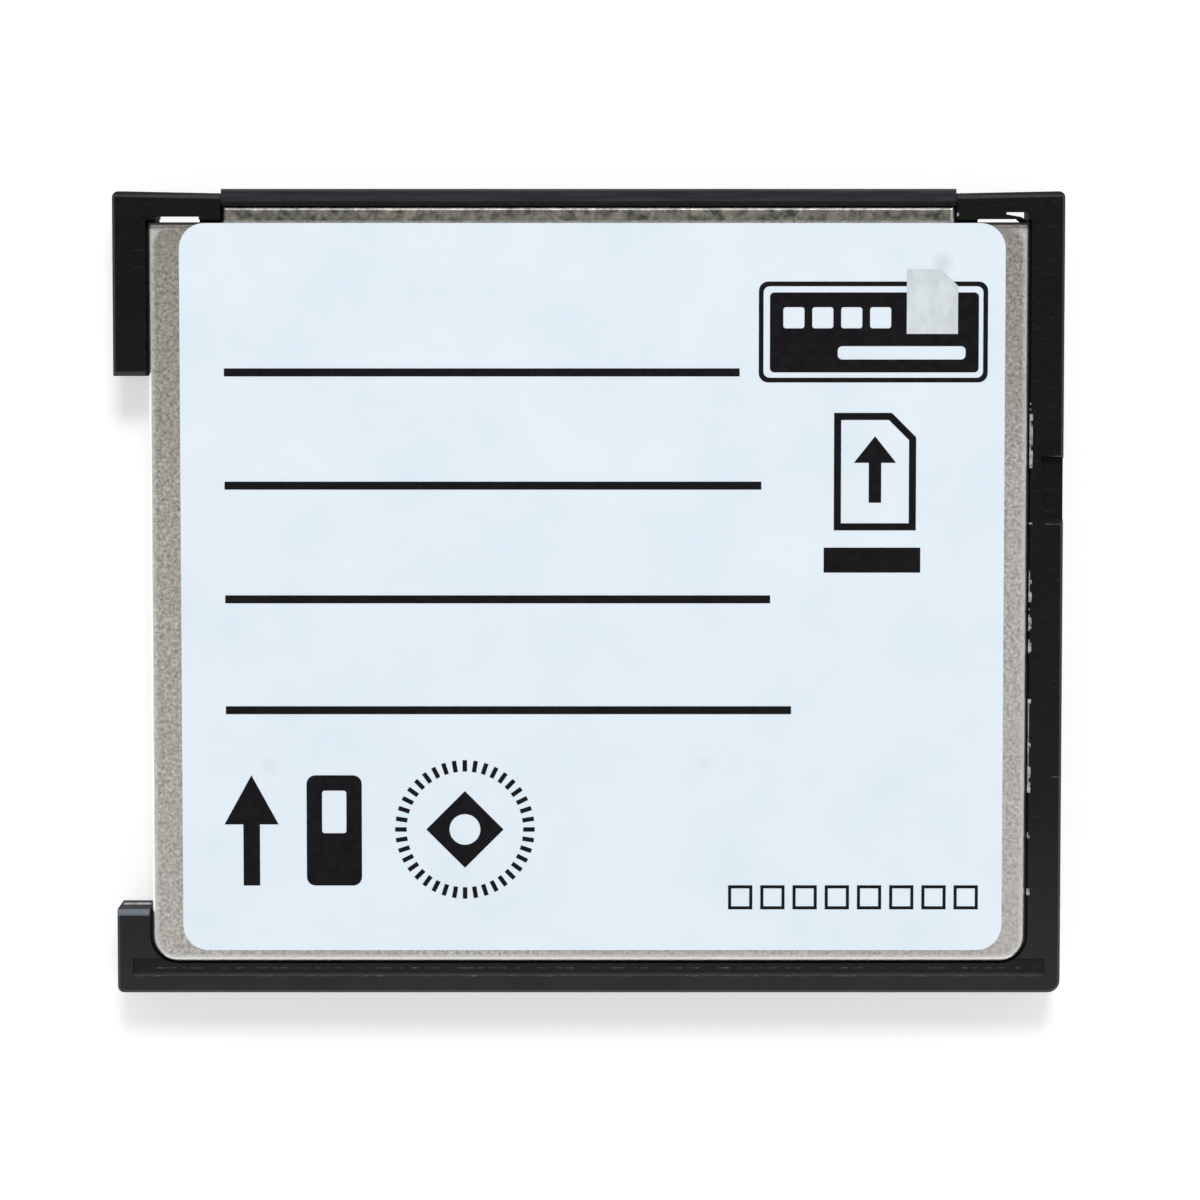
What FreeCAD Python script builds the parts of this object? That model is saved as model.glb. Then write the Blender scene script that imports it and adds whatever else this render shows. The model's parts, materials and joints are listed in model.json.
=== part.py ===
# A memory card adapter: a thin card-shaped frame that takes a smaller memory card from its left
# side and carries a 50-socket connector along its front edge.
#
# Millimetres. The origin is the centre of the footprint, on the underside. +X points right, away
# from the small card's slot, +Y points to the connector edge and +Z to the label side. Two moulded
# half frames meet at mid thickness. Each carries a steel panel, and between them they clamp the
# circuit board and the connector.
import FreeCAD, Part
import os
import re
import Sketcher

# The driving dimensions, in millimetres apart from the counts.
SIZES = {
    # the whole adapter
    "overall_width": 42.8,
    "overall_depth": 36.4,
    "overall_thickness": 3.3,
    # half frames
    "rail_width": 2.4,
    "rear_bar_depth": 3.8,
    "front_block_depth": 8.4,
    "corner_block_width": 4.87,
    "rib_thickness": 0.85,
    "block_setback": 0.1,
    "block_slope": 0.1,
    "corner_radius": 0.28,
    "rear_right_corner_radius": 0.55,
    "outer_edge_chamfer": 0.12,
    "front_chamfer": 0.25,
    "rear_lip_depth": 0.76,
    "rear_step_depth": 0.12,
    "rear_step_run": 0.14,
    "rear_step_end_margin": 0.7,
    "mouth_chamfer": 0.2,
    "lip_width": 0.8,
    "lip_thickness": 0.2,
    # guide grooves for the host's rails, and the keying notch
    "groove_depth": 1.01,
    "left_groove_width": 1.6,
    "right_groove_width": 0.99,
    "groove_length": 25.78,
    "notch_start": 12.0,
    "notch_length": 3.0,
    "notch_depth": 0.45,
    "notch_end_run": 0.15,
    # open corners beside the connector
    "window_width": 2.0,
    "window_side_gap": 0.3,
    "window_front_gap": 0.25,
    "window_overlap": 0.4,
    "deep_window_extra": 0.5,
    "corner_bar_thickness": 0.11,
    "corner_bar_slope": 0.2,
    "corner_bar_drop": 0.17,
    "small_window_inset": 0.75,
    "small_window_reach": 0.32,
    "small_window_depth": 0.2,
    "small_window_end": 0.09,
    # weld tongues and the hollows of the rear bar
    "tongue_length": 1.2,
    "tongue_width": 0.7,
    "tongue_height": 0.6,
    "tongue_clearance": 0.05,
    "rear_tongue_side_inset": 1.3,
    "rear_tongue_inset": 1.9,
    "front_tongue_side_inset": 2.2,
    "front_tongue_gap": 1.8,
    "core_depth": 0.7,
    "core_margin": 0.9,
    "core_wall": 0.8,
    "core_count": 6,
    # steel panels
    "sheet_thickness": 0.2,
    "rim_depth": 0.4,
    "panel_side_margin": 1.6,
    "panel_rear_margin": 1.44,
    "panel_front_margin": 1.5,
    "panel_corner_radius": 1.15,
    "panel_edge_radius": 0.19,
    "panel_gap": 0.12,
    "tab_side_clearance": 0.06,
    "tab_front_clearance": 0.02,
    "rim_clearance": 0.03,
    # printed label
    "label_thickness": 0.08,
    "label_left_margin": 1.4,
    "label_right_margin": 1.07,
    "label_rear_margin": 0.51,
    "label_front_margin": 0.03,
    "label_corner_radius": 1.15,
    # connector
    "housing_clearance": 0.03,
    "solder_bay_depth": 2.05,
    "front_lip_depth": 0.76,
    "front_lip_chamfer": 0.1,
    "ear_reach": 1.1,
    "ear_length": 2.0,
    "ear_rear_gap": 0.5,
    "ear_height": 1.5,
    "ear_clearance": 0.04,
    "socket_end_wall": 0.5,
    "socket_pitch": 1.27,
    "row_spacing": 1.27,
    "socket_bore": 0.62,
    "socket_mouth": 0.92,
    "contact_side_clearance": 0.06,
    "contact_beam": 0.13,
    "contact_pinch": 0.32,
    "contact_plug_start": 0.2,
    "contact_plug_length": 1.0,
    "contact_pinch_depth": 1.9,
    "contact_tip_depth": 1.1,
    "contact_tip_inset": 0.06,
    "tail_thickness": 0.2,
    "tail_foot": 0.9,
    "tail_bend": 0.2,
    # small card, its slot and its contacts
    "card_side_clearance": 0.1,
    "card_face_clearance": 0.32,
    "card_pad_drop": 0.7,
    "first_contact_inset": 3.13,
    "last_contact_inset": 1.67,
    "last_contact_pitch": 1.7,
    "card_contact_width": 0.6,
    "card_contact_sheet": 0.12,
    "card_contact_reach": 2.5,
    "card_contact_preload": 0.15,
    "card_contact_tip": 0.7,
    "card_contact_tip_rise": 0.25,
    "card_contact_foot": 0.9,
    "card_contact_bend": 0.25,
    "carrier_depth": 1.2,
    "carrier_margin": 0.9,
    "carrier_headroom": 0.07,
    "contact_level": 0.4,
    # circuit board and what it carries
    "board_foot_width": 6.9,
    "board_thickness": 0.6,
    "board_grip": 0.3,
    "board_clearance": 0.05,
    "strip_clearance": 0.12,
    "board_card_gap": 0.4,
    "board_corner_radius": 0.4,
    "chip_margin": 0.45,
    "chip_headroom": 0.22,
    "chip_shift": 0.7,
    "chip_mark_diameter": 0.6,
    "chip_mark_depth": 0.05,
    "chip_terminal_width": 0.25,
    "chip_terminal_pitch": 0.65,
    "chip_terminal_margin": 0.65,
    "chip_terminal_proud": 0.03,
    "chip_terminal_height": 0.2,
    "regulator_length": 2.9,
    "regulator_width": 1.6,
    "regulator_headroom": 0.12,
    "regulator_span": 2.6,
    "regulator_lead_width": 0.4,
    "regulator_lead_sheet": 0.15,
    "regulator_lead_pitch": 0.95,
    "regulator_stand_off": 0.05,
    "regulator_front_gap": 2.5,
    "capacitor_length": 1.6,
    "capacitor_width": 0.8,
    "capacitor_headroom": 0.27,
    "capacitor_pitch": 1.6,
    "capacitor_count": 4,
    "resistor_length": 1.0,
    "resistor_width": 0.5,
    "resistor_headroom": 0.72,
    "resistor_rear_gap": 1.6,
    "resistor_pitch": 1.1,
    "resistor_count": 6,
    "end_cap_length": 0.25,
    "end_cap_proud": 0.02,
}
CARD_CONTACTS = 9

doc = FreeCAD.newDocument("memory_card_adapter")
sheet = doc.addObject("Spreadsheet::Sheet", "Sizes")
for row, (alias, number) in enumerate(SIZES.items(), start=1):
    sheet.set(f"A{row}", alias)
    sheet.set(f"B{row}", str(number))
    sheet.setAlias(f"B{row}", alias)
doc.recompute()

# Places that follow from the sizes, as formulas in their names.
HALF_WIDTH = "(overall_width / 2)"
HALF_DEPTH = "(overall_depth / 2)"
SEAM = "(overall_thickness / 2)"
SLOT_REAR = f"(rear_bar_depth - {HALF_DEPTH})"
SLOT_FRONT = f"({HALF_DEPTH} - front_block_depth)"
SLOT_CENTRE = f"(({SLOT_REAR} + {SLOT_FRONT}) / 2)"
RAIL_INNER = f"({HALF_WIDTH} - rail_width)"
RIB_FRONT = f"({SLOT_FRONT} + rib_thickness)"
BLOCK_INNER = f"({HALF_WIDTH} - corner_block_width)"
BLOCK_FRONT_OUTER = f"({HALF_DEPTH} - block_setback)"
BLOCK_FRONT_INNER = f"({BLOCK_FRONT_OUTER} - block_slope)"
LIP_REAR = f"({HALF_DEPTH} - front_lip_depth)"
HOUSING_SIDE = f"({BLOCK_INNER} - housing_clearance)"
HOUSING_REAR = f"({RIB_FRONT} + solder_bay_depth)"
SOCKET_COUNT = f"(floor((2 * ({HOUSING_SIDE} - socket_end_wall) - socket_mouth) / socket_pitch) + 1)"
SOCKET_RUN = f"(({SOCKET_COUNT} - 1) * socket_pitch)"
PANEL_SIDE = f"({HALF_WIDTH} - panel_side_margin)"
PANEL_REAR = f"(panel_rear_margin - {HALF_DEPTH})"
PANEL_FRONT = f"({HALF_DEPTH} - panel_front_margin)"
TAB_SIDE = f"({HOUSING_SIDE} - tab_side_clearance)"
TAB_FRONT = f"({LIP_REAR} - tab_front_clearance)"
PANEL_INSIDE = "(label_thickness + sheet_thickness)"
RIM_END = "(label_thickness + rim_depth)"
GROOVE_FLOOR = f"({HALF_WIDTH} - groove_depth)"
GROOVE_END = f"({HALF_DEPTH} - groove_length)"
BOARD_TOP = f"({SEAM} + board_thickness / 2)"
BOARD_UNDER = f"({SEAM} - board_thickness / 2)"
BOARD_INNER = f"({RAIL_INNER} - board_foot_width)"
CARD_END = f"({BOARD_INNER} - board_card_gap)"
CARD_TOP = f"(overall_thickness - {PANEL_INSIDE} - card_face_clearance)"
CARRIER_REAR = f"({BOARD_INNER} + carrier_depth)"
FEET_END = f"({CARRIER_REAR} + card_contact_bend + card_contact_foot)"
PARTS_MIDDLE = f"(({FEET_END} + {RAIL_INNER}) / 2)"
REGULATOR_Y = f"({SLOT_FRONT} - regulator_front_gap)"
RESISTORS_REAR = f"({SLOT_REAR} + resistor_rear_gap)"
RESISTORS_FRONT = f"({RESISTORS_REAR} + (resistor_count - 1) * resistor_pitch)"
CAPACITORS_CENTRE = f"(({RESISTORS_FRONT} + {REGULATOR_Y} - regulator_length / 2) / 2)"
CAPACITORS_REAR = f"({CAPACITORS_CENTRE} - (capacitor_count - 1) * capacitor_pitch / 2)"
LABEL_SIDE, PLAIN_SIDE = "label_side", "plain_side"


def formula(text):
    """The text with every named size tied to its cell in the sheet."""
    def named(word):
        return f"Sizes.{word.group()}" if word.group() in SIZES else word.group()

    return re.sub(r"[a-z][a-z_]+", named, text)


def value(text):
    return float(sheet.evalExpression(formula(text)))


def level(side, depth):
    """The height of a plane that lies a depth below the outer face of a side."""
    return f"(overall_thickness - ({depth}))" if side == LABEL_SIDE else f"({depth})"


def span(side, shallow, deep):
    """The lower and the upper height of what lies between two depths of a side."""
    ends = level(side, shallow), level(side, deep)
    return ends if side == PLAIN_SIDE else ends[::-1]


def new_body(label):
    body = doc.addObject("PartDesign::Body", label)
    body.Label = label
    return body


def origin_of(body, role):
    return next(feature for feature in body.Origin.OriginFeatures if feature.Role == role)


def tie(sketch, kind, *place):
    """Adds a constraint whose last entry is a formula, bound to the sheet."""
    *where, text = place
    index = sketch.addConstraint(Sketcher.Constraint(kind, *where, value(text)))
    sketch.setExpression(f"Constraints[{index}]", formula(text))


def add_polygon(sketch, corners):
    """A closed outline of straight lines with every corner tied to its two formulas."""
    points = [FreeCAD.Vector(value(x), value(y), 0) for x, y in corners]
    first = sketch.GeometryCount
    count = len(corners)
    for i in range(count):
        sketch.addGeometry(Part.LineSegment(points[i], points[(i + 1) % count]), False)
    for i in range(count):
        sketch.addConstraint(Sketcher.Constraint("Coincident", first + i, 2, first + (i + 1) % count, 1))
    for i, (x, y) in enumerate(corners):
        tie(sketch, "DistanceX", -1, 1, first + i, 1, x)
        tie(sketch, "DistanceY", -1, 1, first + i, 1, y)


def add_circle(sketch, x, y, diameter):
    centre = FreeCAD.Vector(value(x), value(y), 0)
    index = sketch.addGeometry(Part.Circle(centre, FreeCAD.Vector(0, 0, 1), value(diameter) / 2), False)
    tie(sketch, "DistanceX", -1, 1, index, 3, x)
    tie(sketch, "DistanceY", -1, 1, index, 3, y)
    tie(sketch, "Diameter", index, diameter)


def box(x_low, x_high, y_low, y_high):
    return [(x_low, y_low), (x_high, y_low), (x_high, y_high), (x_low, y_high)]


def around(x, y, half_x, half_y):
    """A box by its middle and its half sizes."""
    return box(f"{x} - {half_x}", f"{x} + {half_x}", f"{y} - {half_y}", f"{y} + {half_y}")


def new_sketch(body, name, role, offset, loops):
    """A sketch on a plane of the body. A loop is a list of corners, or a circle as (x, y, diameter)."""
    sketch = body.newObject("Sketcher::SketchObject", f"{body.Name}_{name}_sketch")
    sketch.AttachmentSupport = [(origin_of(body, role), "")]
    sketch.MapMode = "FlatFace"
    sketch.setExpression("AttachmentOffset.Base.z", formula(offset))
    for loop in loops:
        if isinstance(loop, tuple):
            add_circle(sketch, *loop)
        else:
            add_polygon(sketch, loop)
    return sketch


def finish(body, feature):
    body.Tip = feature
    doc.recompute()
    if not feature.isValid() or feature.Shape.isNull():
        raise RuntimeError(f"{feature.Name} failed")
    return feature


def volume(body):
    return body.Shape.Volume if body.Tip else 0.0


def pad(body, name, low, high, *loops, role="XY_Plane"):
    """Solid between two planes. The XZ plane looks along -Y, so its outlines start at the high end."""
    before = volume(body)
    sketch = new_sketch(body, name, role, f"-({high})" if role == "XZ_Plane" else low, loops)
    feature = body.newObject("PartDesign::Pad", f"{body.Name}_{name}")
    feature.Profile = sketch
    feature.setExpression("Length", formula(f"{high} - ({low})"))
    finish(body, feature)
    if body.Shape.Volume <= before:
        raise RuntimeError(f"{feature.Name} adds nothing")
    return feature


def pocket(body, name, low, high, *loops, role="XY_Plane", taper=0):
    """Cut between two planes. A taper widens the cut towards its far end."""
    before = volume(body)
    sketch = new_sketch(body, name, role, f"-({low})" if role == "XZ_Plane" else high, loops)
    feature = body.newObject("PartDesign::Pocket", f"{body.Name}_{name}")
    feature.Profile = sketch
    feature.TaperAngle = taper
    feature.setExpression("Length", formula(f"{high} - ({low})"))
    finish(body, feature)
    if body.Shape.Volume >= before:
        raise RuntimeError(f"{feature.Name} cuts nothing")
    return feature


def row_of(body, name, features, axis, length, count):
    """Repeats features in a straight row of count copies, length from the first to the last."""
    feature = body.newObject("PartDesign::LinearPattern", f"{body.Name}_{name}")
    feature.Originals = features
    feature.Direction = (origin_of(body, axis), [""])
    feature.setExpression("Occurrences", formula(count))
    feature.setExpression("Length", formula(length))
    return finish(body, feature)


def dress(body, kind, name, size, test):
    """A fillet or chamfer of one size on the edges that pass the test."""
    base = body.Tip
    edges = [f"Edge{i}" for i, edge in enumerate(base.Shape.Edges, start=1) if test(edge)]
    if not edges:
        raise RuntimeError(f"{name} of {body.Name} finds no edge")
    feature = body.newObject(f"PartDesign::{kind}", f"{body.Name}_{name}")
    feature.Base = (base, edges)
    feature.setExpression("Radius" if kind == "Fillet" else "Size", formula(size))
    return finish(body, feature)


NEAR = 1e-4


def upright_at(*places):
    """Tests for edges along Z that stand at one of the places, each a pair of formulas."""
    spots = [(value(x), value(y)) for x, y in places]

    def test(edge):
        bounds = edge.BoundBox
        if bounds.XLength > NEAR or bounds.YLength > NEAR:
            return False
        return any(abs(bounds.XMin - x) < NEAR and abs(bounds.YMin - y) < NEAR for x, y in spots)

    return test


def flat_at(height, keep):
    """Tests for edges that lie at a height and whose middle point passes keep(x, y)."""
    z = value(height)

    def test(edge):
        bounds = edge.BoundBox
        if abs(bounds.ZMin - z) > NEAR or abs(bounds.ZMax - z) > NEAR:
            return False
        middle = edge.valueAt((edge.FirstParameter + edge.LastParameter) / 2)
        return keep(middle.x, middle.y)

    return test


def panel_outline(grow):
    """The outline of a steel panel, grown outwards all round. Its tab lies between the corner blocks."""
    side, rear = f"({PANEL_SIDE} + ({grow}))", f"({PANEL_REAR} - ({grow}))"
    front = f"({PANEL_FRONT} + ({grow}))"
    tab_side, tab_front = f"({TAB_SIDE} + ({grow}))", f"({TAB_FRONT} + ({grow}))"
    return [
        (f"-{side}", rear),
        (side, rear),
        (side, front),
        (tab_side, front),
        (tab_side, tab_front),
        (f"-{tab_side}", tab_front),
        (f"-{tab_side}", front),
        (f"-{side}", front),
    ]


def board_outline(grow):
    """The L-shaped board: a strip behind the connector and a wide foot beside the small card."""
    left = f"(-{BLOCK_INNER} - board_grip - ({grow}))"
    right = f"({RAIL_INNER} + board_grip + ({grow}))"
    inner = f"({BOARD_INNER} - ({grow}))"
    rear = f"({SLOT_REAR} - board_grip - ({grow}))"
    strip_rear = f"({RIB_FRONT} + strip_clearance - ({grow}))"
    strip_front = f"({HOUSING_REAR} - strip_clearance + ({grow}))"
    foot = [(left, strip_rear), (inner, strip_rear), (inner, rear), (right, rear)]
    return foot + [(right, strip_front), (left, strip_front)]


def ear_outline(side, grow):
    """One of the two ears that the frames trap, at the side given as 1 or -1."""
    start = f"({side} * ({HOUSING_SIDE} - ear_reach / 2))"
    end = f"({side} * ({HOUSING_SIDE} + ear_reach + ({grow})))"
    rear = f"({HOUSING_REAR} + ear_rear_gap - ({grow}))"
    front = f"({HOUSING_REAR} + ear_rear_gap + ear_length + ({grow}))"
    return box(start, end, rear, front) if side > 0 else box(end, start, rear, front)


def tongues(grow):
    """The four weld tongues, two in the rear bar and two in the front corner blocks."""
    rear = (f"({HALF_WIDTH} - rear_tongue_side_inset)", f"(rear_tongue_inset - {HALF_DEPTH})")
    front = (f"({HALF_WIDTH} - front_tongue_side_inset)", f"({HOUSING_REAR} + front_tongue_gap)")
    half_width, half_length = f"(tongue_width / 2 + {grow})", f"(tongue_length / 2 + {grow})"
    outlines = []
    for distance, y in (rear, front):
        for sign in (1, -1):
            x = f"({sign} * {distance})"
            outlines.append(around(x, y, half_width, half_length))
    return outlines


def make_half_frame(side):
    """One moulded half of the frame, from its outer face to the seam at mid thickness."""
    body = new_body(f"{side}_frame")
    low, high = span(side, "0", SEAM)
    outer = level(side, "0")
    plan = [
        (f"-{HALF_WIDTH}", f"-{HALF_DEPTH}"),
        (HALF_WIDTH, f"-{HALF_DEPTH}"),
        (HALF_WIDTH, BLOCK_FRONT_OUTER),
        (BLOCK_INNER, BLOCK_FRONT_INNER),
        (BLOCK_INNER, RIB_FRONT),
        (f"-{BLOCK_INNER}", RIB_FRONT),
        (f"-{BLOCK_INNER}", BLOCK_FRONT_INNER),
        (f"-{HALF_WIDTH}", BLOCK_FRONT_OUTER),
        (f"-{HALF_WIDTH}", SLOT_FRONT),
        (RAIL_INNER, SLOT_FRONT),
        (RAIL_INNER, SLOT_REAR),
        (f"-{HALF_WIDTH}", SLOT_REAR),
    ]
    pad(body, "plan", low, high, plan)

    # a broad chamfer along the front edges and the slot's mouth, and rounded corners
    front_line, mouth_lines = value(BLOCK_FRONT_INNER) - NEAR, (value(SLOT_FRONT), value(SLOT_REAR))
    front_edges = flat_at(outer, lambda x, y: y > front_line)
    dress(body, "Chamfer", "front_edges", "front_chamfer", front_edges)
    mouth_edges = flat_at(outer, lambda x, y: any(abs(y - line) < NEAR for line in mouth_lines))
    dress(body, "Chamfer", "mouth_edges", "mouth_chamfer", mouth_edges)
    dress(body, "Fillet", "corners", "corner_radius", upright_at(plan[0], plan[2], plan[7]))
    dress(body, "Fillet", "rear_right_corner", "rear_right_corner_radius", upright_at(plan[1]))

    # a small chamfer along the other outer edges
    side_line, rear_line = value(HALF_WIDTH) - NEAR, NEAR - value(HALF_DEPTH)
    outer_edges = flat_at(outer, lambda x, y: abs(x) > side_line or y < rear_line)
    dress(body, "Chamfer", "outer_edges", "outer_edge_chamfer", outer_edges)

    # the recess for the steel panel, with a deeper channel for its folded rim
    pocket(body, "panel_recess", *span(side, "0", PANEL_INSIDE), panel_outline("panel_gap"))
    rim_floor = f"({RIM_END} + rim_clearance)"
    rim_inner = "-(sheet_thickness + rim_clearance)"
    channel = (panel_outline("panel_gap"), panel_outline(rim_inner))
    pocket(body, "rim_channel", *span(side, "0", rim_floor), *channel)
    ledge_corners, recess_corners = panel_outline(rim_inner)[:2], panel_outline("panel_gap")[:2]
    dress(body, "Fillet", "ledge_corners", f"panel_corner_radius + {rim_inner}", upright_at(*ledge_corners))
    dress(body, "Fillet", "recess_corners", "panel_corner_radius + panel_gap", upright_at(*recess_corners))

    # the rear lip, with a sloped step down to a lower ledge along the panel
    step_top, step_floor = outer, level(side, "rear_step_depth")
    lip_front = f"(rear_lip_depth - {HALF_DEPTH})"
    step = [
        (lip_front, step_top),
        (f"({lip_front} + rear_step_run)", step_floor),
        (f"({PANEL_REAR} + panel_gap)", step_floor),
        (f"({PANEL_REAR} + panel_gap)", step_top),
    ]
    end = f"({HALF_WIDTH} - rear_step_end_margin)"
    pocket(body, "rear_step", f"-{end}", end, step, role="YZ_Plane")

    # a thin lip under each panel edge closes the frame across the mouth of the slot
    lip_outer = f"(sheet_thickness + rim_clearance - {PANEL_SIDE})"
    lip_ends = (f"({SLOT_REAR} - lip_width)", f"({SLOT_FRONT} + lip_width)")
    mouth_lip = box(lip_outer, f"({lip_outer} + lip_width)", *lip_ends)
    pad(body, "mouth_lip", *span(side, PANEL_INSIDE, f"({PANEL_INSIDE} + lip_thickness)"), mouth_lip)

    # the board lies half in each frame
    board_span = span(side, f"({SEAM} - board_thickness / 2)", SEAM)
    pocket(body, "board_recess", *board_span, board_outline("board_clearance"))

    # guide grooves along both sides, and a notch with sloped ends over the right one
    beyond = f"({HALF_WIDTH} + groove_depth)"
    for name, sign in (("left_groove", "-1"), ("right_groove", "1")):
        x_low, x_high = sorted((f"({sign} * {GROOVE_FLOOR})", f"({sign} * {beyond})"), key=value)
        groove = box(x_low, x_high, GROOVE_END, f"({HALF_DEPTH} + groove_depth)")
        pocket(body, name, *span(side, f"({SEAM} - {name}_width / 2)", SEAM), groove)
    if side == LABEL_SIDE:
        notch_front, notch_floor = f"({HALF_DEPTH} - notch_start)", level(side, "notch_depth")
        notch = [
            (f"({notch_front} - notch_length)", outer),
            (f"({notch_front} - notch_length + notch_end_run)", notch_floor),
            (f"({notch_front} - notch_end_run)", notch_floor),
            (notch_front, outer),
        ]
        pocket(body, "notch", GROOVE_FLOOR, beyond, notch, role="YZ_Plane")

    # the corners beside the connector are open right through, further forward in the plain half
    window_rear, window_front = f"({PANEL_FRONT} - window_overlap)", f"({PANEL_FRONT} + window_front_gap)"
    if side == PLAIN_SIDE:
        window_front = f"({window_front} + deep_window_extra)"
    outside = f"({PANEL_SIDE} - window_side_gap)"
    inner, wide = f"({outside} - window_width)", f"({outside} + small_window_reach)"
    pocket(body, "left_window", low, high, box(f"-{outside}", f"-{inner}", window_rear, window_front))
    if side == PLAIN_SIDE:
        pocket(body, "right_window", low, high, box(inner, wide, window_rear, window_front))
    else:
        # a thin bar that slopes down at the corner divides the right one in two
        bar_rear = f"({window_front} - corner_bar_thickness)"
        bar_end, bar_low = f"({outside} - corner_bar_slope)", f"({bar_rear} - corner_bar_drop)"
        right_window = [
            (inner, window_rear),
            (outside, window_rear),
            (outside, bar_low),
            (bar_end, bar_rear),
            (inner, bar_rear),
        ]
        pocket(body, "right_window", low, high, right_window)
        small_front = f"({window_front} + small_window_depth)"
        small_window = [
            (f"({outside} - small_window_inset)", f"({small_front} - small_window_end)"),
            (f"({outside} - corner_bar_thickness)", window_front),
            (f"({outside} + corner_bar_slope)", f"({window_front} - corner_bar_drop)"),
            (wide, f"({window_front} - corner_bar_drop)"),
            (wide, small_front),
            (f"({outside} - small_window_inset)", small_front),
        ]
        pocket(body, "small_window", low, high, small_window)

    # pockets for the connector's ears
    ears = [ear_outline(sign, "ear_clearance") for sign in (-1, 1)]
    pocket(body, "ear_pockets", *span(side, f"({SEAM} - ear_height / 2)", SEAM), *ears)

    # hollows along the rear bar keep its wall even, as in any moulding of this size
    core_low, core_high = span(side, f"({SEAM} - core_depth)", SEAM)
    core_start = f"(-{RAIL_INNER} + core_wall)"
    core_run = f"(({RAIL_INNER} - core_wall) * 2)"
    core_length = f"(({core_run} + core_wall) / core_count - core_wall)"
    core_rear, core_front = f"(core_margin - {HALF_DEPTH})", f"({SLOT_REAR} - core_margin)"
    core_outline = box(core_start, f"({core_start} + {core_length})", core_rear, core_front)
    core = pocket(body, "core", core_low, core_high, core_outline)
    row_of(body, "cores", [core], "X_Axis", f"{core_run} - {core_length}", "core_count")

    # weld tongues on the plain side, slots for them on the label side
    if side == PLAIN_SIDE:
        pad(body, "tongues", f"({SEAM} - tongue_height / 2)", f"({SEAM} + tongue_height)", *tongues("0"))
    else:
        top = f"({SEAM} + tongue_height + tongue_clearance)"
        pocket(body, "tongue_slots", SEAM, top, *tongues("tongue_clearance"))
    return body


def make_panel(side):
    """A stamped steel cover: a flat sheet with a short rim folded down all round."""
    body = new_body(f"{side}_panel")
    outer = level(side, "label_thickness")
    outline, inside = panel_outline("0"), panel_outline("-sheet_thickness")
    pad(body, "blank", *span(side, "label_thickness", RIM_END), outline)
    pocket(body, "inside", *span(side, PANEL_INSIDE, RIM_END), inside)
    dress(body, "Fillet", "inner_corners", "panel_corner_radius - sheet_thickness", upright_at(*inside[:2]))
    dress(body, "Fillet", "outer_corners", "panel_corner_radius", upright_at(*outline[:2]))
    dress(body, "Fillet", "folded_edge", "panel_edge_radius", flat_at(outer, lambda x, y: True))
    return body


def make_label():
    body = new_body("label")
    outline = box(
        f"(label_left_margin - {PANEL_SIDE})",
        f"({PANEL_SIDE} - label_right_margin)",
        f"({PANEL_REAR} + label_rear_margin)",
        f"({PANEL_FRONT} - label_front_margin)",
    )
    pad(body, "sheet", *span(LABEL_SIDE, "0", "label_thickness"), outline)
    dress(body, "Fillet", "corners", "label_corner_radius", upright_at(*outline))
    return body


def make_connector_housing():
    """The moulded bar with two rows of square sockets and a full-thickness lip along its front."""
    body = new_body("connector_housing")
    side = HOUSING_SIDE
    under, over = level(PLAIN_SIDE, PANEL_INSIDE), level(LABEL_SIDE, PANEL_INSIDE)
    pad(body, "bar", under, over, box(f"-{side}", side, HOUSING_REAR, HALF_DEPTH))
    pad(body, "lip", "0", "overall_thickness", box(f"-{side}", side, LIP_REAR, HALF_DEPTH))
    front = value(HALF_DEPTH)
    faces = (value("0"), value("overall_thickness"))

    def lip_edge(edge):
        bounds = edge.BoundBox
        lies = any(abs(bounds.ZMin - z) < NEAR and abs(bounds.ZMax - z) < NEAR for z in faces)
        return lies and abs(bounds.YMin - front) < NEAR and bounds.XLength > NEAR

    dress(body, "Chamfer", "lip_chamfer", "front_lip_chamfer", lip_edge)

    # ears that the half frames trap
    ears = [ear_outline(sign, "0") for sign in (-1, 1)]
    pad(body, "ears", f"({SEAM} - ear_height / 2)", f"({SEAM} + ear_height / 2)", *ears)

    # channels for the rims of both panels
    for label_or_plain in (LABEL_SIDE, PLAIN_SIDE):
        rim_floor = f"({RIM_END} + rim_clearance)"
        outer = panel_outline("tab_side_clearance + housing_clearance")
        outer[4:6] = [(outer[4][0], TAB_FRONT), (outer[5][0], TAB_FRONT)]
        channel = span(label_or_plain, PANEL_INSIDE, rim_floor)
        inner = panel_outline("-(sheet_thickness + rim_clearance)")
        pocket(body, f"{label_or_plain}_rim_channel", *channel, outer, inner)

    # two square bores with widened mouths, then the row of them
    start = f"(-{SOCKET_RUN} / 2)"
    rows = (f"({SEAM} - row_spacing / 2)", f"({SEAM} + row_spacing / 2)")

    def squares(width):
        return [around(start, z, f"{width} / 2", f"{width} / 2") for z in rows]

    bore = pocket(body, "bore", HOUSING_REAR, HALF_DEPTH, *squares("socket_bore"), role="XZ_Plane")
    mouth_depth = "((socket_mouth - socket_bore) / 2)"
    mouth_low, mouths = f"({HALF_DEPTH} - {mouth_depth})", squares("socket_bore")
    mouth = pocket(body, "mouth", mouth_low, HALF_DEPTH, *mouths, role="XZ_Plane", taper=45)
    row_of(body, "sockets", [bore, mouth], "X_Axis", SOCKET_RUN, SOCKET_COUNT)
    return body


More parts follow.
